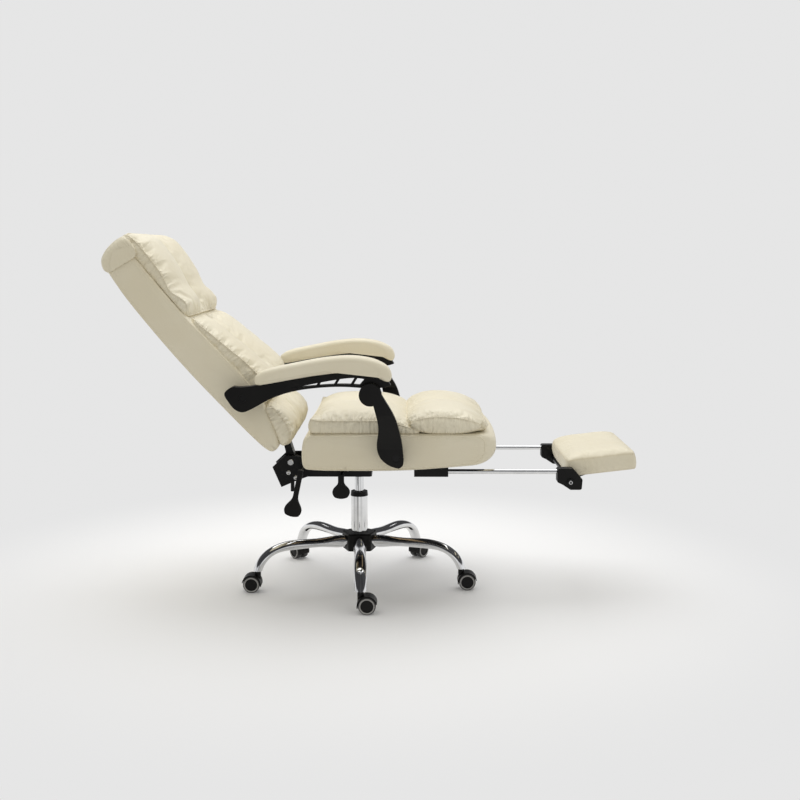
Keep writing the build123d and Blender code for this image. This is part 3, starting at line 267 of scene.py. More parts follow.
black_nylon = moulded_finish("black_nylon", (0.0065, 0.0062, 0.006, 1.0), 0.36, 0.52, 900.0, 0.0002)
black_paint = moulded_finish("black_paint", (0.007, 0.007, 0.0075, 1.0), 0.26, 0.42, 420.0, 0.0001)
hood_plastic = moulded_finish("hood_plastic", (0.022, 0.022, 0.024, 1.0), 0.30, 0.48, 700.0, 0.0002)
tread_rubber = moulded_finish("tread_rubber", (0.075, 0.075, 0.078, 1.0), 0.45, 0.65, 500.0, 0.0003)
ring_plastic = moulded_finish("ring_plastic", (0.42, 0.42, 0.425, 1.0), 0.34, 0.5, 700.0, 0.0001)
dust_cloth = moulded_finish("dust_cloth", (0.022, 0.022, 0.024, 1.0), 0.8, 0.95, 1400.0, 0.0006)
plywood = moulded_finish("plywood", (0.55, 0.40, 0.24, 1.0), 0.55, 0.7, 160.0, 0.0004)
chrome = metal_finish("chrome", (0.86, 0.865, 0.87, 1.0), 0.03, 0.11)
bright_steel = metal_finish("bright_steel", (0.72, 0.72, 0.72, 1.0), 0.18, 0.34)
print("hard finishes made")

# %% Finishes on the CAD pieces that keep their shape
finish_of_slot = {
    "chrome": chrome,
    "black_plastic": black_nylon,
    "wheel_plastic": hood_plastic,
    "black_steel": black_paint,
    "bright_steel": bright_steel,
    "plywood": plywood,
    "cream_upholstery": smooth_leather,
}
for node in frame["nodes"].values():
    slot_name = node.data.materials[0].name.split(".")[0]
    node.data.materials[0] = finish_of_slot.get(slot_name, black_nylon)
for bolt_name in ("arm_bolts", "strut_bolts", "footrest_shaft"):
    frame["nodes"][bolt_name].data.materials[0] = black_paint
print("finished", len(frame["nodes"]), "CAD nodes")

# %% [markdown]
# ## Surfaces from arrays
# A sewn cover is a surface with two parameters, so it can be worked out as one array of points and
# handed to Blender whole. Three small helpers do the common work: the squares of a grid, turning a
# closed cover right side out, and making the object that rides on its CAD body.


# %% Grids, meshes and smooth curves
def grid_faces(rows, columns, wrap):
    """Squares between the points of a grid, joined round the columns where wrap is set."""
    span = columns if wrap else columns - 1
    i, j = np.meshgrid(np.arange(rows - 1), np.arange(span), indexing="ij")
    k = (j + 1) % columns
    corners = (i * columns + j, (i + 1) * columns + j, (i + 1) * columns + k, i * columns + k)
    return np.stack(corners, axis=-1).reshape(-1, 4)


def outward(points, faces):
    """Faces turned so that the volume they enclose is positive: the sum of a . (b x c) over triangles."""
    a, b, c, d = (points[faces[:, k]] for k in range(4))
    volume = np.einsum("ij,ij->", a, np.cross(b, c)) + np.einsum("ij,ij->", a, np.cross(c, d))
    return faces if volume > 0 else faces[:, ::-1]


def put_piece(name, points, faces, body, finish):
    """A mesh object at the origin, smooth shaded, that rides on a body and takes the finish it is given.
    """
    mesh = bpy.data.meshes.new(name)
    mesh.from_pydata(points.tolist(), [], faces.tolist())
    mesh.materials.append(finish)
    mesh.shade_smooth()
    piece = bpy.data.objects.new(name, mesh)
    bpy.context.scene.collection.objects.link(piece)
    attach(piece, body)
    return piece


def put_attribute(piece, name, values):
    """Store one number for each point of a piece."""
    attribute = piece.data.attributes.new(name, "FLOAT", "POINT")
    attribute.data.foreach_set("value", np.asarray(values, np.float32).ravel())


def through(x, knots, values):
    """Smooth curve through a few knots: cubic pieces whose slopes come from their neighbours."""
    knots = np.asarray(knots, float)
    values = np.asarray(values, float)
    slopes = np.gradient(values, knots)
    k = np.clip(np.searchsorted(knots, x) - 1, 0, len(knots) - 2)
    step = knots[k + 1] - knots[k]
    t = np.clip((x - knots[k]) / step, 0.0, 1.0)
    rise = (2 * t**3 - 3 * t**2 + 1) * values[k] + (3 * t**2 - 2 * t**3) * values[k + 1]
    lean = (t**3 - 2 * t**2 + t) * slopes[k] + (t**3 - t**2) * slopes[k + 1]
    return rise + lean * step


CORNER_CUT = 0.22
CUT_ROUNDS = 3


def closed_outline(corners, count):
    """Closed curve by corner cutting, two new points on each side in every round, then spaced evenly."""
    points = np.asarray(corners, float)
    keep = 1.0 - CORNER_CUT
    for _ in range(CUT_ROUNDS):
        after = np.roll(points, -1, axis=0)
        cut = (keep * points + CORNER_CUT * after, CORNER_CUT * points + keep * after)
        points = np.stack(cut, axis=1).reshape(-1, 2)
    loop = np.vstack((points, points[:1]))
    run = np.concatenate(((0.0,), np.cumsum(np.linalg.norm(np.diff(loop, axis=0), axis=1))))
    even = np.linspace(0.0, run[-1], count, endpoint=False)
    return np.stack((np.interp(even, run, loop[:, 0]), np.interp(even, run, loop[:, 1])), axis=1)


GATHER_PERIODS = (0.017, 0.023, 0.034, 0.051)
GATHER_WIDTH = 0.014
WAVE_GAIN = 1.4


def waves(run, periods, seed):
    """Uneven waves along a seam: sines of a few periods with seeded phases, between about -1 and 1."""
    phases = np.random.default_rng(seed).uniform(0.0, 2.0 * math.pi, len(periods))
    total = sum(np.sin(2.0 * math.pi * run / period + phase) for period, phase in zip(periods, phases))
    return total / len(periods) * WAVE_GAIN


def gathers(run, gap, depth, seed):
    """Gathers: waves along a seam that start at the stitches and fade over a few centimetres."""
    share = gap / GATHER_WIDTH
    return depth * waves(run, GATHER_PERIODS, seed) * share * np.exp(1.0 - share)


# %% [markdown]
# ## Piping
# Where two panels meet, the seam stands up as a thin rolled edge. It is a small circle carried along
# the seam: at each point the path's direction and the cushion's own upward direction give the circle
# its plane.


# %% Piping along a seam
PIPE_SIDES = 8
# The piping gets a seam distance large enough that the painted seam shade leaves it out.
PIPE_SEAM_GAP = 0.03
SEAT_PIPE = 0.0018
BACK_PIPE = 0.0010
CUSHION_PIPE = 0.0014


def piping(name, path, lift, radius, body):
    """Closed tube: a ring round each point, radius times cos and sin in the plane square to the path."""
    ahead = np.roll(path, -1, axis=0) - np.roll(path, 1, axis=0)
    ahead /= np.linalg.norm(ahead, axis=1)[:, None]
    side = np.cross(ahead, lift)
    side /= np.linalg.norm(side, axis=1)[:, None]
    up = np.cross(side, ahead)
    angle = np.linspace(0.0, 2.0 * math.pi, PIPE_SIDES, endpoint=False)[None, :, None]
    ring = np.cos(angle) * side[:, None, :] + np.sin(angle) * up[:, None, :]
    points = path[:, None, :] + radius * ring
    points = np.concatenate((points, points[:1]), axis=0)
    faces = grid_faces(len(points), PIPE_SIDES, True)
    flat = points.reshape(-1, 3)
    piece = put_piece(name, flat, outward(flat, faces), body, smooth_leather)
    put_attribute(piece, "seam_gap", np.full(len(flat), PIPE_SEAM_GAP))


# %% [markdown]
# ## Sewn bodies
# The seat, the back and the arm pads are panels sewn over foam: two side panels with one long strip
# round them. The strip's outline is drawn once as seen from the side, then carried across the chair.
# Close to each side it is drawn in by a quarter circle, which gives the soft edge, and the side panel
# swells a little in its middle.


# %% A body with side panels and a strip round them
PANEL_ROWS = 15
RIM_ROWS = 12
RIM_CROWDING = 1.5
STRIP_ROWS = 26
SEAM_ROW = 4
# Added to the seam distance on the sewn bodies, so that their painted seam shade stays faint.
LEAST_SEAM_GAP = 0.006


def quarter_fall(reach, depth):
    """How far a quarter circle of radius reach has fallen off at a distance depth from the side."""
    return reach - np.sqrt(np.maximum(reach**2 - np.maximum(reach - depth, 0.0) ** 2, 0.0))


def along_first(move):
    """Moves along the first of an outline's two directions."""
    return np.stack((move, np.zeros_like(move)), axis=-1)


def sewn_body(name, body, outline, centre, to_space, half, edge, swell, sweep, eased):
    """Cover of a foam body, as rows of the outline from one side panel's middle to the other's.

    Row by row the outline is shrunk towards the centre on the side panels. On the strip it is drawn
    in along its own normal by edge - sqrt(edge^2 - (edge - d)^2), where d is the distance from the
    side. The piece comes back with the path of the seam on its right side.
    """
    count = len(outline)
    ahead = np.roll(outline, -1, axis=0) - np.roll(outline, 1, axis=0)
    ahead /= np.linalg.norm(ahead, axis=1)[:, None]
    inward = np.stack((-ahead[:, 1], ahead[:, 0]), axis=1)
    inward *= np.sign(np.sum(inward * (centre - outline)))
    rim = np.linspace(0.0, 1.0, RIM_ROWS) ** RIM_CROWDING
    depth = np.concatenate((edge * rim[:-1], np.linspace(edge, half, STRIP_ROWS)))
    draw = quarter_fall(edge, depth)
    strip = outline[None] + inward[None] * draw[:, None, None] + sweep(outline[None], depth[:, None])
    shrink = np.linspace(0.0, 1.0, PANEL_ROWS)[:-1][:, None, None]
    panel = centre + shrink * (strip[:1] - centre)
    across = np.concatenate((half + swell * (1.0 - shrink[:, 0, 0] ** 2), half - depth))
    rows = np.concatenate((panel, strip))
    around = np.linalg.norm(np.diff(outline, axis=0), axis=1).sum()
    run = np.linspace(0.0, 1.0, count, endpoint=False) * around
    panel_gap = np.linalg.norm(panel - strip[:1], axis=2)
    rim_gap = np.concatenate((panel_gap, np.repeat(depth[:, None], count, 1)))
    side = np.repeat(across[:, None], count, 1)
    right = np.stack((rows[..., 0], -side, rows[..., 1]), axis=-1)
    left = np.stack((rows[..., 0], side, rows[..., 1]), axis=-1)[-2::-1]
    points = to_space(np.concatenate((right, left)).reshape(-1, 3))
    faces = grid_faces(2 * len(rows) - 1, count, True)
    piece = put_piece(name, points, outward(points, faces), body, smooth_leather)
    put_attribute(piece, "seam_gap", np.concatenate((rim_gap, rim_gap[-2::-1])) + LEAST_SEAM_GAP)
    put_attribute(piece, "seam_run", np.tile(run, 2 * len(rows) - 1))
    put_attribute(piece, "seam_wave", np.full(len(points), eased))
    seam = strip[SEAM_ROW]
    path = np.stack((seam[:, 0], np.full(count, depth[SEAM_ROW] - half), seam[:, 1]), axis=1)
    return piece, path


def seat_space(points):
    """Points as they are: x forward, y to the left, z up."""
    return points


# %% [markdown]
# ## Stuffed cushions
# A boxed cushion is a top panel, a band and a bottom panel. Its grid has the same three parts, sewn
# along shared points, so a seam stays a seam when the cover is inflated. The top rises from the welt
# into two lobes with a sewn valley between them; the band swells out; corners pull up into small
# ears.


# %% A boxed cushion on a grid
def boxed_faces(nu, nv, nb):
    """Squares of a top sheet, nb rows of band and a bottom sheet, and the points of the upper seam."""
    top = np.arange((nu + 1) * (nv + 1)).reshape(nu + 1, nv + 1)
    ring = np.concatenate((top[0, :-1], top[:-1, -1], top[-1, :0:-1], top[:0:-1, 0]))
    wall = 2 * top.size + np.arange((nb - 1) * ring.size).reshape(nb - 1, ring.size)
    rows = np.vstack((ring, wall, ring + top.size))
    upper = np.stack((top[:-1, :-1], top[1:, :-1], top[1:, 1:], top[:-1, 1:]), axis=-1).reshape(-1, 4)
    after = np.roll(rows, -1, axis=1)
    band = np.stack((rows[:-1], after[:-1], after[1:], rows[1:]), axis=-1).reshape(-1, 4)
    return np.vstack((upper, upper[:, ::-1] + top.size, band)), ring


def dome(share, fullness, brow):
    """Height over a seam, 0 at the ends and 1 in the middle; fuller is squarer, a low brow steeper."""
    return (1.0 - np.abs(share) ** fullness) ** brow


PLAIN_CUSHION = {"lift": 0.0, "bulge": 0.003, "eased": 1.0, "tip": 8, "sewn": False}
CORNER_SHARE = 0.29
CORNER_TIGHTNESS = 12
PULL_TIGHTNESS = 6
EAR_TIGHTNESS = 8
CREASE_POWER = 1.4
FULL_BAND = 0.03
CORNER_CALM = 0.012
EASE_WIDTH = 0.016


def boxed_cushion(name, body, origin, run_axis, rise_axis, shape):
    """Cover of a boxed cushion as arrays: plan with rounded corners, top H(p, q), band and bottom.

    In a shape, length and half give the plan, corner its rounding and pull how far the sides are
    drawn in. Ear and lift raise the corners of the top and of the bottom, tip says how close to the
    ends. The profile has places along the cushion, then the welt's, the crest's and the valley's
    height there in mm. Crease is the valley's width, end and full are how square the crown is along
    and across, brow how steep its edge. Sewn stitches the valley down.
    """
    nu, nv, nb = shape["grid"]
    p = np.linspace(-1.0, 1.0, nu + 1)[:, None]
    q = np.linspace(-1.0, 1.0, nv + 1)[None, :]
    length, half = shape["length"] / 2, shape["half"]
    corner = CORNER_SHARE * shape["corner"] * np.abs(p * q) ** CORNER_TIGHTNESS
    pull_p = np.sign(p) * shape["pull"] * (1 - q**2) * np.abs(p) ** PULL_TIGHTNESS
    pull_q = np.sign(q) * shape["pull"] * (1 - p**2) * np.abs(q) ** PULL_TIGHTNESS
    plan_p = p * (length - corner) - pull_p
    plan_q = q * (half - corner) - pull_q
    knots, edge, crest, valley = (np.asarray(row, float) for row in shape["profile"])
    ear = np.abs(p) ** shape["tip"] * np.abs(q) ** EAR_TIGHTNESS
    welt = through(p, knots, edge) * MM + shape["ear"] * ear
    crown = (through(p, knots, crest) - through(p, knots, edge)) * MM
    dip = (through(p, knots, crest) - through(p, knots, valley)) * MM
    crease = np.exp(-((np.abs(q) / shape["crease"]) ** CREASE_POWER))
    brow = shape["brow"]
    top = welt + dome(p, shape["end"], brow) * (crown * dome(q, shape["full"], brow) - dip * crease)
    gap_p = (1.0 - np.abs(p)) * length + 0 * q
    gap_q = (1.0 - np.abs(q)) * half + 0 * p
    top += gathers(plan_p, gap_q, shape["gather"], shape["seed"])
    top += gathers(plan_q, gap_p, shape["gather"], shape["seed"] + 1)
    base = shape["lift"] * ear
    plan = origin + plan_p[..., None] * run_axis + plan_q[..., None] * SIDEWAYS
    upper = (plan + top[..., None] * rise_axis).reshape(-1, 3)
    lower = (plan + base[..., None] * rise_axis).reshape(-1, 3)
    faces, ring = boxed_faces(nu, nv, nb)
    above, below = upper[ring], lower[ring]
    tangent = np.roll(above, -1, axis=0) - np.roll(above, 1, axis=0)
    spread = np.cross(np.cross(run_axis, SIDEWAYS), tangent)
    spread /= np.linalg.norm(spread, axis=1)[:, None]
    around = np.concatenate(((0.0,), np.cumsum(np.linalg.norm(np.diff(above, axis=0), axis=1))))
    t = (np.arange(1, nb) / nb)[:, None]
    tall = np.linalg.norm(above - below, axis=1)
    puff = shape["bulge"] * np.sin(math.pi * t) * np.minimum(1.0, tall / FULL_BAND)
    puff += gathers(around[None], t * tall, shape["gather"], shape["seed"] + 2)
    wall = (1 - t)[..., None] * above + t[..., None] * below + puff[..., None] * spread
    points = np.concatenate((upper, lower, wall.reshape(-1, 3)))
    piece = put_piece(name, points, outward(points, faces), body, leather)
    gap_top = np.minimum(gap_p, gap_q).ravel()
    run_top = np.where(gap_p < gap_q, plan_q, plan_p).ravel()
    apart = np.abs(gap_p - gap_q).ravel()
    wave_top = np.clip(apart / EASE_WIDTH, 0.0, 1.0)
    gap_wall = (np.minimum(t, 1 - t) * tall).ravel()
    run_wall = np.tile(run_top[ring], nb - 1)
    wave_wall = np.tile(np.clip((apart[ring] - CORNER_CALM) / EASE_WIDTH, 0.0, 1.0), nb - 1)
    put_attribute(piece, "seam_gap", np.concatenate((gap_top, gap_top, gap_wall)))
    put_attribute(piece, "seam_run", np.concatenate((run_top, run_top, run_wall)))
    put_attribute(piece, "seam_wave", np.concatenate((wave_top, wave_top, wave_wall)) * shape["eased"])
    held = np.zeros(len(points), bool)
    held[len(upper) : 2 * len(upper)] = True
    held[ring] = True
    if shape["sewn"]:
        held[np.arange(nu + 1) * (nv + 1) + nv // 2] = True
    return piece, ring, held


# %% [markdown]
# ## Inflating the covers
# A stuffed cover is cloth under pressure. Blender's cloth blows the grid up while the welt and the
# bottom panel are held, and in the back's pillows the stitched channel too. A cover cut a few percent
# too large creases by itself along the seams. How far a point may move is capped, so the cushion
# keeps the size that the CAD gives it, and the result is written back into the mesh.


# %% Cloth under pressure
SWELL_FRAMES = 20
REFINE_LEVELS = 1


def swell(piece, held, pressure, ease, cap):
    """Inflate a cover for a few frames with Blender's cloth, and keep each point's move under the cap."""
    rest = np.empty(len(piece.data.vertices) * 3, np.float32)
    piece.data.vertices.foreach_get("co", rest)
    rest = rest.reshape(-1, 3)
    group = piece.vertex_groups.new(name="held")
    group.add(np.flatnonzero(held).tolist(), 1.0, "REPLACE")
    cloth = piece.modifiers.new("stuffing", "CLOTH")
    cloth.settings.quality = 6
    cloth.settings.mass = 0.0006
    cloth.settings.air_damping = 2.0
    cloth.settings.tension_stiffness = 6.0
    cloth.settings.compression_stiffness = 6.0
    cloth.settings.shear_stiffness = 3.0
    cloth.settings.bending_stiffness = 0.02
    cloth.settings.use_pressure = True
    cloth.settings.uniform_pressure_force = pressure
    cloth.settings.shrink_min = -ease
    cloth.settings.vertex_group_mass = "held"
    cloth.settings.effector_weights.gravity = 0.0
    cloth.collision_settings.use_collision = False
    scene = bpy.context.scene
    for step in range(1, SWELL_FRAMES + 1):
        scene.frame_set(step)
    shaped = piece.evaluated_get(bpy.context.evaluated_depsgraph_get()).data
    moved = np.empty(len(shaped.vertices) * 3, np.float32)
    shaped.vertices.foreach_get("co", moved)
    move = moved.reshape(-1, 3) - rest
    size = np.linalg.norm(move, axis=1, keepdims=True)
    move *= cap * np.tanh(size / cap) / np.maximum(size, 1e-9)
    piece.modifiers.remove(cloth)
    piece.vertex_groups.remove(group)
    piece.data.vertices.foreach_set("co", (rest + move).astype(np.float32).ravel())
    piece.data.update()
    scene.frame_set(1)
    print(piece.name, "swelled by up to", round(float(size.max()) / MM, 1), "mm")


def refine(piece):
    """Subdivision, the same in the viewport and in renders."""
    rounding = piece.modifiers.new("refine", "SUBSURF")
    rounding.levels = REFINE_LEVELS
    rounding.render_levels = REFINE_LEVELS


# %% [markdown]
# ## The seat
# The lower seat is a foam block with a waterfall front, lying on the mechanism. A boxed cushion
# covers its rear half and a fat roll its front; both are fuller than the block and bulge over it.

# %% Seat body
SEAT_HALF = 0.2535
SEAT_OUTLINE = (
    (-0.133, 0.3895),
    (0.130, 0.3895),
    (0.290, 0.4015),
    (0.374, 0.408),
    (0.409, 0.436),
    (0.404, 0.494),
    (0.330, 0.4965),
    (-0.060, 0.4955),
    (-0.142, 0.4955),
    (-0.152, 0.450),
    (-0.150, 0.402),
)


NOSE_START = 0.20
NOSE_LENGTH = 0.20
NOSE_POWER = 1.5
NOSE_FALLS = ((0.030, 0.012), (0.014, 0.09))
FACING_DOWN = -0.94


def seat_sweep(outline, depth):
    """The front falls back towards both sides: steeply at the side panel, and in a slight bow across."""
    front = np.clip((outline[..., 0] - NOSE_START) / NOSE_LENGTH, 0.0, 1.0) ** NOSE_POWER
    fall = sum(size * np.exp(-depth / reach) for size, reach in NOSE_FALLS)
    return along_first(-front * fall)


seat_body, seat_path = sewn_body(
    "seat_body",
    "seat",
    closed_outline(SEAT_OUTLINE, count=240),
    centre=np.array((0.10, 0.445)),
    to_space=seat_space,
    half=SEAT_HALF,
    edge=0.014,
    swell=0.004,
    sweep=seat_sweep,
    eased=0.6,
)
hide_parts("seat_base")
seat_body.data.materials.append(dust_cloth)
normals = np.empty(len(seat_body.data.polygons) * 3, np.float32)
seat_body.data.polygons.foreach_get("normal", normals)
under = (normals.reshape(-1, 3)[:, 2] < FACING_DOWN).astype(np.int32)
seat_body.data.polygons.foreach_set("material_index", under)
refine(seat_body)
for side_name, flip in (("right", 1.0), ("left", -1.0)):
    path = seat_path * (1.0, flip, 1.0)
    piping("seat_piping_" + side_name, path, SIDEWAYS, SEAT_PIPE, "seat")
print("seat body", len(seat_body.data.polygons), "faces")

# %% Seat cushions
SEAT_TOP = 0.4955
REAR_MIDDLE = 0.027
ROLL_MIDDLE = 0.2545
REAR_PAD = PLAIN_CUSHION | {
    "length": 0.310, "half": 0.247, "grid": (50, 82, 7), "corner": 0.010, "pull": 0.004,
    "ear": 0.006, "lift": 0.002, "bulge": 0.004, "gather": 0.0024, "seed": 11,
    "end": 6.0, "full": 4.0, "crease": 0.2, "brow": 0.7,
    "profile": (
        (-1.0, -0.6, -0.1, 0.4, 0.75, 1.0),
        (36, 37, 37, 34, 20, 3),
        (54, 64, 66, 60, 40, 8),
        (44, 52, 54, 49, 31, 5),
    ),
}
FRONT_ROLL = PLAIN_CUSHION | {
    "length": 0.226, "half": 0.247, "grid": (40, 82, 8), "corner": 0.070, "pull": 0.002,
    "ear": -0.008, "lift": 0.026, "tip": 3, "bulge": 0.009, "gather": 0.0024, "seed": 23,
    "end": 4.0, "full": 3.4, "crease": 0.2, "brow": 0.66,
    "profile": (
        (-1.0, -0.5, 0.0, 0.5, 1.0),
        (38, 47, 48, 43, 32),
        (56, 68, 69, 60, 42),
        (50, 60, 61, 53, 38),
    ),
}
rear_pad, rear_ring, rear_held = boxed_cushion(
    "seat_cushion_rear", "seat", np.array((REAR_MIDDLE, 0.0, SEAT_TOP)), FORWARD, UPWARD, REAR_PAD
)
front_roll, front_ring, front_held = boxed_cushion(
    "seat_cushion_front", "seat", np.array((ROLL_MIDDLE, 0.0, SEAT_TOP)), FORWARD, UPWARD, FRONT_ROLL
)
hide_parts("seat_rear_pad")
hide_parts("seat_front_bolster")
print("seat cushions", len(rear_pad.data.polygons), len(front_roll.data.polygons))

# %% [markdown]
# ## The back
# The back is one foam shell with a padded cap over its top. Two pillows are sewn to its front, a
# headrest and a back pillow, each with a stitched channel down its middle, and a soft foot sits below
# them. Its own directions are up along the reclined back and out of its front, so every place on it
# is given by two numbers, and the same code lays the cushions on it as on the seat.

# %% Directions of the reclined back
RECLINE_PIVOT = np.array(joint_named["recline"]["pos_m"])
BACK_LEAN = math.radians(40.2)
ALONG = np.array((-math.sin(BACK_LEAN), 0.0, math.cos(BACK_LEAN)))
OUT = np.array((math.cos(BACK_LEAN), 0.0, math.sin(BACK_LEAN)))


def back_space(points):
    """From (up the back, y, out of its front) to the chair's own frame."""
    return RECLINE_PIVOT + points[:, :1] * ALONG + points[:, 1:2] * SIDEWAYS + points[:, 2:] * OUT


# %% Back shell
BACK_HALF = 0.2485
BACK_OUTLINE = (
    (0.066, 0.040),
    (0.070, 0.010),
    (0.180, -0.001),
    (0.420, -0.014),
    (0.640, -0.011),
    (0.756, 0.001),
    (0.776, 0.008),
    (0.772, 0.050),
    (0.758, 0.086),
    (0.700, 0.086),
    (0.560, 0.083),
    (0.440, 0.090),
    (0.300, 0.099),
    (0.220, 0.099),
    (0.160, 0.082),
    (0.088, 0.058),
)


SHOULDER = 0.034
SHOULDER_START = 0.66
SHOULDER_LENGTH = 0.10


def back_sweep(outline, depth):
    """Rounded shoulders: the top falls away towards the sides on a quarter circle."""
    top = np.clip((outline[..., 0] - SHOULDER_START) / SHOULDER_LENGTH, 0.0, 1.0)
    return along_first(-quarter_fall(SHOULDER, depth) * top)


back_body, back_path = sewn_body(
    "back_body",
    "back",
    closed_outline(BACK_OUTLINE, count=240),
    centre=np.array((0.42, 0.040)),
    to_space=back_space,
    half=BACK_HALF,
    edge=0.013,
    swell=0.003,
    sweep=back_sweep,
    eased=0.5,
)
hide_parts("back_shell")
refine(back_body)
for side_name, flip in (("right", 1.0), ("left", -1.0)):
    path = back_space(back_path * (1.0, flip, 1.0))
    piping("back_piping_" + side_name, path, SIDEWAYS, BACK_PIPE, "back")
print("back shell", len(back_body.data.polygons), "faces")

# %% Padded cap over the top of the back
CAP_OUTLINE = (
    (0.760, -0.002),
    (0.772, -0.002),
    (0.788, 0.010),
    (0.798, 0.038),
    (0.800, 0.074),
    (0.792, 0.106),
    (0.756, 0.106),
    (0.744, 0.090),
    (0.752, 0.050),
)


CAP_HALF = 0.2512
CAP_FALL = 0.85


def cap_sweep(outline, depth):
    """The cap's ends fall off over the rounded shoulders, by the same amount all round its outline."""
    return along_first(-CAP_FALL * quarter_fall(SHOULDER, depth) + 0 * outline[..., 0])


back_cap, _ = sewn_body(
    "back_cap",
    "back",
    closed_outline(CAP_OUTLINE, count=120),
    centre=np.array((0.776, 0.054)),
    to_space=back_space,
    half=CAP_HALF,
    edge=0.007,
    swell=0.002,
    sweep=cap_sweep,
    eased=0.8,
)
refine(back_cap)
print("cap", len(back_cap.data.polygons), "faces")

# %% Back pillows
SHELL_FACE = 0.0845
HEAD_MIDDLE = 0.651
PILLOW_MIDDLE = 0.344
FOOT_MIDDLE = 0.123
FOOT_FACE = 0.0655
HEADREST = PLAIN_CUSHION | {
    "length": 0.286, "half": 0.241, "grid": (48, 80, 7), "corner": 0.030, "pull": 0.002,
    "ear": -0.002, "gather": 0.0026, "seed": 31, "sewn": True,
    "end": 7.0, "full": 2.6, "crease": 0.26, "brow": 0.85,
    "profile": (
        (-1.0, -0.8, -0.38, -0.08, 0.4, 0.78, 1.0),
        (8, 24, 14, 25, 31, 30, 24),
        (12, 30, 32, 44, 55, 55, 46),
        (3, 4, 14, 25, 34, 38, 32),
    ),
}
BACK_PILLOW = PLAIN_CUSHION | {
    "length": 0.312, "half": 0.239, "grid": (50, 80, 7), "corner": 0.036, "pull": 0.002,
    "ear": 0.004, "gather": 0.0024, "seed": 41, "sewn": True,
    "end": 7.0, "full": 2.6, "crease": 0.34, "brow": 0.85,
    "profile": (
        (-1.0, -0.72, -0.3, 0.2, 0.7, 1.0),
        (24, 44, 44, 31, 17, 7),
        (34, 64, 60, 45, 26, 12),
        (18, 30, 22, 13, 7, 4),
    ),
}
FOOT_SLANT = math.atan2(0.032, 0.105)
FOOT_ALONG = math.cos(FOOT_SLANT) * ALONG + math.sin(FOOT_SLANT) * OUT
FOOT_OUT = math.cos(FOOT_SLANT) * OUT - math.sin(FOOT_SLANT) * ALONG
BACK_FOOT = PLAIN_CUSHION | {
    "length": 0.126, "half": 0.243, "grid": (24, 80, 7), "corner": 0.036, "pull": 0.001,
    "ear": -0.006, "bulge": 0.005, "gather": 0.0030, "seed": 53,
    "end": 2.6, "full": 2.4, "crease": 0.3, "brow": 0.6,
    "profile": (
        (-1.0, -0.5, 0.0, 0.5, 1.0),
        (26, 38, 38, 30, 20),
        (40, 60, 58, 46, 30),
        (28, 38, 34, 24, 16),
    ),
}
head_origin = RECLINE_PIVOT + HEAD_MIDDLE * ALONG + SHELL_FACE * OUT
pillow_origin = RECLINE_PIVOT + PILLOW_MIDDLE * ALONG + SHELL_FACE * OUT
foot_origin = RECLINE_PIVOT + FOOT_MIDDLE * ALONG + FOOT_FACE * OUT
headrest, headrest_ring, headrest_held = boxed_cushion(
    "headrest", "back", head_origin, ALONG, OUT, HEADREST
)
back_pillow, pillow_ring, pillow_held = boxed_cushion(
    "back_cushion", "back", pillow_origin, ALONG, OUT, BACK_PILLOW
)
back_foot, foot_ring, foot_held = boxed_cushion(
    "back_foot", "back", foot_origin, FOOT_ALONG, FOOT_OUT, BACK_FOOT
)
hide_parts("headrest_pillow")
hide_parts("back_pillow")
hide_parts("lower_back_pad")
print("back pillows", [len(piece.data.polygons) for piece in (headrest, back_pillow, back_foot)])

# %% [markdown]
# ## The footrest
# A flat boxed pad on a steel plate, tilted up a little towards its front. It turns over on its pivot
# to stow.

# %% Footrest cushion
FOOT_PIVOT = np.array(joint_named["footrest_flip"]["pos_m"])
FOOT_TILT = math.radians(6.8)
TILT_RUN = np.array((math.cos(FOOT_TILT), 0.0, math.sin(FOOT_TILT)))
TILT_RISE = np.array((-math.sin(FOOT_TILT), 0.0, math.cos(FOOT_TILT)))
PAD_MIDDLE = 0.099
PLATE_TOP = 0.0087
FOOT_PAD = PLAIN_CUSHION | {
    "length": 0.200, "half": 0.179, "grid": (40, 70, 7), "corner": 0.022, "pull": 0.0,
    "ear": -0.003, "gather": 0.0004, "seed": 61, "eased": 0.02,
    "end": 9.0, "full": 12.0, "crease": 0.5, "brow": 0.6,
    "profile": (
        (-1.0, -0.5, 0.0, 0.5, 1.0),
        (46, 47, 47, 47, 46),
        (57, 60, 60, 60, 57),
        (56, 58, 58, 58, 56),
    ),
}
rest_origin = FOOT_PIVOT + PAD_MIDDLE * TILT_RUN + PLATE_TOP * TILT_RISE
foot_pad, rest_ring, rest_held = boxed_cushion(
    "footrest_pad", "footrest", rest_origin, TILT_RUN, TILT_RISE, FOOT_PAD
)
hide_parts("footrest_cushion")
print("footrest pad", len(foot_pad.data.polygons), "faces")

# %% [markdown]
# ## Stuffing them
# Each cover is inflated on its own, softly for the firm pads and more for the pillows, then refined
# once. The piping follows the seam where the cloth left it.

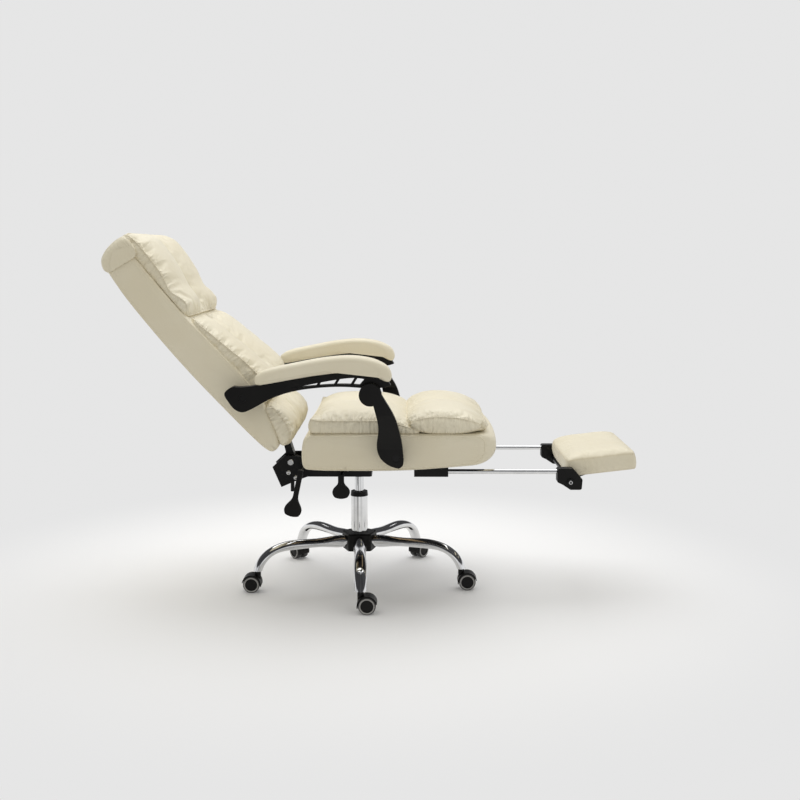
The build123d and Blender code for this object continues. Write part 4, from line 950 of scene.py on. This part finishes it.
# %% Inflate, refine and pipe every cushion
# Each row: cushion, its seam, its held points, way up, pressure, ease of the cover, most move in m, fill.
stuffing = (
    (rear_pad, rear_ring, rear_held, UPWARD, 5.0, 0.045, 0.010, 0.6),
    (front_roll, front_ring, front_held, UPWARD, 5.0, 0.04, 0.010, 0.65),
    (headrest, headrest_ring, headrest_held, OUT, 5.0, 0.05, 0.014, 0.55),
    (back_pillow, pillow_ring, pillow_held, OUT, 5.0, 0.05, 0.014, 0.5),
    (back_foot, foot_ring, foot_held, FOOT_OUT, 5.0, 0.05, 0.012, 0.5),
    (foot_pad, rest_ring, rest_held, TILT_RISE, 3.0, 0.01, 0.006, 0.85),
)
UNPIPED = ("back_foot", "footrest_pad")
for cushion, ring, held, lift, pressure, ease, cap, fill in stuffing:
    swell(cushion, held, pressure, ease, cap)
    refine(cushion)
    if cushion.name in UNPIPED:
        continue
    where = np.empty(len(cushion.data.vertices) * 3, np.float32)
    cushion.data.vertices.foreach_get("co", where)
    seam_path = where.reshape(-1, 3)[ring].astype(float)
    rider = "seat" if cushion.name.startswith("seat") else "back"
    piping(cushion.name + "_piping", seam_path, lift, CUSHION_PIPE, rider)
print("cushions stuffed and piped")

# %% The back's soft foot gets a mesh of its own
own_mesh(back_foot)
print("soft foot squeezes along", [round(float(x), 3) for x in FOOT_OUT])

# %% [markdown]
# ## Arm pads
# The arm pads are foam bodies too, so the sewn body makes them: their outline follows the arm frame's
# upper edge and a rounded top, and both edges are drawn in by a wide quarter circle.

# %% Arm pads
ARM_MIDDLE = 0.304
ARM_PAD_OUTLINE = (
    (-0.2690, 0.6400),
    (-0.2250, 0.6475),
    (-0.1737, 0.6570),
    (-0.1100, 0.6680),
    (-0.0489, 0.6755),
    (0.0101, 0.6800),
    (0.0560, 0.6690),
    (0.0960, 0.6480),
    (0.1065, 0.6640),
    (0.0960, 0.6935),
    (0.0540, 0.7150),
    (-0.0100, 0.7240),
    (-0.0900, 0.7160),
    (-0.1600, 0.7020),
    (-0.2420, 0.6850),
    (-0.2710, 0.6670),
)


ARM_HALF = 0.034
ARM_ROUND = 0.020
ARM_CENTRE = -0.085
ARM_REACH = 0.18
ARM_STRAIGHT = 0.6


def arm_sweep(outline, depth):
    """The ends of a pad are rounded in plan: both fall in towards the sides on a quarter circle."""
    place = (outline[..., 0] - ARM_CENTRE) / ARM_REACH
    ends = np.sign(place) * np.clip(np.abs(place) - ARM_STRAIGHT, 0.0, 1.0) * 2.0
    return along_first(-quarter_fall(ARM_ROUND, depth) * ends)


arm_outline = closed_outline(ARM_PAD_OUTLINE, count=200)
for side_name, side in (("left", 1.0), ("right", -1.0)):
    middle = np.array((0.0, side * ARM_MIDDLE, 0.0))
    arm_pad, _ = sewn_body(
        "arm_cushion_" + side_name,
        "arm_" + side_name,
        arm_outline,
        centre=np.array((-0.08, 0.682)),
        to_space=lambda points: points + middle,
        half=ARM_HALF,
        edge=0.015,
        swell=0.002,
        sweep=arm_sweep,
        eased=0.0,
    )
    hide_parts("arm_pad_" + side_name)
    refine(arm_pad)
print("arm pads", len(arm_outline), "points round")

# %% [markdown]
# ## Wheels and rivets
# A caster wheel is turned: its profile is swept round the axle. The outer face has a black disc in a
# light grey ring, and the tread is a softer dark grey, so the rows of the turned grid take three
# finishes. The axle goes through the middle of the CAD wheel, along the line from its partner
# wheel's middle to its own.


# %% Turned pieces
TURN_STEPS = 48


def turned(name, profile, place, axis, body, finishes):
    """Profile of (distance along the axis, radius, finish number) in mm, swept round the axis."""
    rows = np.asarray(profile, float)
    axis = np.asarray(axis, float) / np.linalg.norm(axis)
    helper = FORWARD if abs(axis[2]) > 0.9 else UPWARD
    first = np.cross(axis, helper)
    first /= np.linalg.norm(first)
    second = np.cross(axis, first)
    angle = np.linspace(0.0, 2.0 * math.pi, TURN_STEPS, endpoint=False)[None, :, None]
    spoke = np.cos(angle) * first + np.sin(angle) * second
    points = np.asarray(place) + MM * (rows[:, None, :1] * axis + rows[:, None, 1:2] * spoke)
    flat = points.reshape(-1, 3)
    faces = grid_faces(len(rows), TURN_STEPS, True)
    piece = put_piece(name, flat, outward(flat, faces), body, finishes[0])
    for other in finishes[1:]:
        piece.data.materials.append(other)
    numbers = np.repeat(rows[1:, 2].astype(np.int32), TURN_STEPS)
    piece.data.polygons.foreach_set("material_index", numbers)
    return piece


WHEEL_PROFILE = (
    (-8.5, 0.01, 2), (-8.5, 14.0, 2), (-8.3, 22.6, 0), (-7.2, 24.2, 0), (-5.0, 24.8, 0),
    (0.0, 25.0, 0), (5.0, 24.8, 0), (7.0, 24.3, 0), (8.0, 23.2, 0), (8.2, 22.2, 0),
    (8.9, 21.8, 1), (9.2, 20.4, 1), (9.1, 18.6, 1), (8.2, 18.0, 1), (7.2, 17.6, 2),
    (7.0, 15.0, 2), (7.8, 9.0, 2), (8.2, 4.0, 2), (8.3, 0.01, 2),
)
for k in range(1, 6):
    for side_name in ("left", "right"):
        wheel_node = f"caster_{k}_wheel_{side_name}"
        low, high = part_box(wheel_node)
        hub = np.array((low + high) / 2)
        partner = "right" if side_name == "left" else "left"
        other_low, other_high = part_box(f"caster_{k}_wheel_{partner}")
        outwards = hub - np.array((other_low + other_high) / 2)
        wheel = turned(
            f"wheel_{k}_{side_name}",
            WHEEL_PROFILE,
            hub,
            outwards,
            f"caster_{k}_{side_name}",
            (tread_rubber, ring_plastic, black_nylon),
        )
        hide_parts(wheel_node)
print("wheels turned")

# %% Rivets on the recline cheeks
RIVET_PROFILE = (
    (-0.5, 7.2, 0), (1.2, 7.2, 0), (2.6, 6.2, 0), (3.4, 4.6, 0),
    (3.5, 3.4, 0), (2.2, 2.6, 0), (2.0, 0.01, 0),
)
RIVET_PLACES = ((-0.210, 0.346), (-0.188, 0.331))
RIVET_INSET = 0.004
_, cheek_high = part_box("recline_pin")
cheek_side = cheek_high[1] - RIVET_INSET
for index, (rivet_x, rivet_z) in enumerate(RIVET_PLACES):
    for side_name, side in (("left", 1.0), ("right", -1.0)):
        turned(
            f"rivet_{index + 1}_{side_name}",
            RIVET_PROFILE,
            (rivet_x, side * cheek_side, rivet_z),
            side * SIDEWAYS,
            "seat",
            (bright_steel,),
        )
print("rivets at", round(cheek_side, 4))

# %% Screw heads at the ends of the footrest's shaft
SCREW_PROFILE = (
    (-1.0, 5.6, 0), (0.6, 5.6, 0), (1.3, 4.9, 0), (1.4, 3.0, 0), (0.4, 2.6, 1), (0.3, 0.01, 1),
)
shaft_low, shaft_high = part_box("footrest_shaft")
for side_name, side, shaft_end in (("left", 1.0, shaft_high[1]), ("right", -1.0, shaft_low[1])):
    screw_place = (FOOT_PIVOT[0], shaft_end, FOOT_PIVOT[2])
    turned(
        "footrest_screw_" + side_name,
        SCREW_PROFILE,
        screw_place,
        side * SIDEWAYS,
        "footrest_frame",
        (bright_steel, black_paint),
    )
print("screws at", round(shaft_high[1], 4))

# %% [markdown]
# ## Studio
# The chair stands on a plain pale floor under one large soft lamp above and behind its left side,
# with an even white room for the rest. The floor fades into the same pale grey as the room, so there
# is no horizon. Light Path nodes tell who looks: the camera sees a whiter floor than the one that
# lights the chair. What the metal mirrors is that room too, with a few darker bands so that a chromed
# tube reads as round.

# %% Rays, headings and dark cards
PALE_GREY = (0.79, 0.79, 0.79, 1.0)
BLACK = (0.0, 0.0, 0.0, 1.0)
CARD_PLACES = ((-1.95, 0.34, 0.62), (-2.75, 0.40, 0.34), (-1.05, 0.30, 0.24))


def ray_kinds(start):
    """Whether a ray comes straight from the camera, and whether a shiny surface sent it."""
    seen = start.node("ShaderNodeLightPath", {}, {}, "Is Camera Ray")
    mirrored = start.node("ShaderNodeLightPath", {}, {}, "Is Glossy Ray")
    return seen, mirrored


def heading(place):
    """Angle round the vertical at which a place lies."""
    y = place.node("ShaderNodeSeparateXYZ", {}, {0: place}, "Y")
    x = place.node("ShaderNodeSeparateXYZ", {}, {0: place}, "X")
    return place.math("ARCTAN2", y, x)


def dark_cards(azimuth):
    """Brightness that dark cards take away at each heading. A card is a heading, a width and a depth."""
    total = 0.0
    for middle, width, depth in CARD_PLACES:
        off = azimuth.math("ABSOLUTE", azimuth - middle)
        total = (1.0 - off.between(width * 0.5, width)) * depth + total
    return total


# %% Floor
FLOOR_SIZE = 40.0
FLOOR_LIGHTING = (0.78, 0.775, 0.77, 1.0)
FLOOR_SEEN = (0.97, 0.98, 1.01, 1.0)
FADE_START = 0.45
FADE_END = 1.5
SEEN_NEAR = 0.08
MIRRORED_NEAR = 0.4
floor_mesh = bpy.data.meshes.new("floor")
floor_corners = np.array(((-1, -1, 0), (1, -1, 0), (1, 1, 0), (-1, 1, 0)), float) * FLOOR_SIZE
floor_mesh.from_pydata(floor_corners.tolist(), [], [(0, 1, 2, 3)])
floor = bpy.data.objects.new("floor", floor_mesh)
bpy.context.scene.collection.objects.link(floor)
floor_paint = bpy.data.materials.new("floor_paint")
floor_paint.use_nodes = True
floor_nodes = floor_paint.node_tree
floor_nodes.nodes.clear()
ground = Shade(floor_nodes)
spot = ground.node("ShaderNodeTexCoord", {}, {}, "Object")
away = ground.node("ShaderNodeVectorMath", {"operation": "LENGTH"}, {0: spot}, "Value")
seen, mirrored = ray_kinds(ground)
floor_colour = seen.mix(FLOOR_LIGHTING, FLOOR_SEEN)
matte = ground.node("ShaderNodeBsdfDiffuse", {}, {"Color": floor_colour})
glow_colour = (mirrored * dark_cards(heading(spot))).mix(PALE_GREY, BLACK)
glow = ground.node("ShaderNodeEmission", {}, {"Color": glow_colour, "Strength": 1.0})
far = away.between(FADE_START, FADE_END)
fade_seen = seen * (SEEN_NEAR + far * (1.0 - SEEN_NEAR))
fade = fade_seen + mirrored * (MIRRORED_NEAR + far * (1.0 - MIRRORED_NEAR))
blend = ground.node("ShaderNodeMixShader", {}, {0: fade, 1: matte, 2: glow})
floor_out = floor_nodes.nodes.new("ShaderNodeOutputMaterial")
floor_nodes.links.new(blend.socket, floor_out.inputs["Surface"])
floor_mesh.materials.append(floor_paint)
print("floor laid")

# %% Room light
ROOM_LIGHT = 0.585
WARM_WHITE = (1.0, 0.97, 0.89, 1.0)
MIRROR_PALE = (0.80, 0.80, 0.81, 1.0)
MIRROR_DARK = (0.02, 0.02, 0.022, 1.0)
BAND_FROM = (0.14, 0.26)
BAND_TO = (0.93, 1.0)
BAND_DEPTH = 0.95
MOST_DIM = 0.97
world = bpy.data.worlds.new("studio")
bpy.context.scene.world = world
world.use_nodes = True
world.node_tree.nodes.clear()
room = Shade(world.node_tree)
direction = room.node("ShaderNodeTexCoord", {}, {}, "Generated")
height = room.node("ShaderNodeSeparateXYZ", {}, {0: direction}, "Z")
seen, mirrored = ray_kinds(room)
band = height.between(*BAND_FROM) * (1.0 - height.between(*BAND_TO))
dim = room.math("MINIMUM", band * BAND_DEPTH + dark_cards(heading(direction)), MOST_DIM)
mirror_colour = dim.mix(MIRROR_PALE, MIRROR_DARK)
light = room.node("ShaderNodeBackground", {}, {"Color": WARM_WHITE, "Strength": ROOM_LIGHT})
mirror = room.node("ShaderNodeBackground", {}, {"Color": mirror_colour, "Strength": 1.0})
backdrop = room.node("ShaderNodeBackground", {}, {"Color": PALE_GREY, "Strength": 1.0})
inside = room.node("ShaderNodeMixShader", {}, {0: mirrored, 1: light, 2: mirror})
whole = room.node("ShaderNodeMixShader", {}, {0: seen, 1: inside, 2: backdrop})
world_out = world.node_tree.nodes.new("ShaderNodeOutputWorld")
world.node_tree.links.new(whole.socket, world_out.inputs["Surface"])


def soft_lamp(name, place, aim, size, power):
    """Square area lamp of a given size that looks at a point."""
    data = bpy.data.lights.new(name, "AREA")
    data.size = size
    data.energy = power
    lamp = bpy.data.objects.new(name, data)
    lamp.location = place
    lamp.rotation_mode = "QUATERNION"
    lamp.rotation_quaternion = (Vector(aim) - Vector(place)).to_track_quat("-Z", "Y")
    bpy.context.scene.collection.objects.link(lamp)


soft_lamp("key_lamp", place=(0.0, 1.2, 3.5), aim=(0.05, 0.1, 0.5), size=4.0, power=92.0)
print("studio lit")
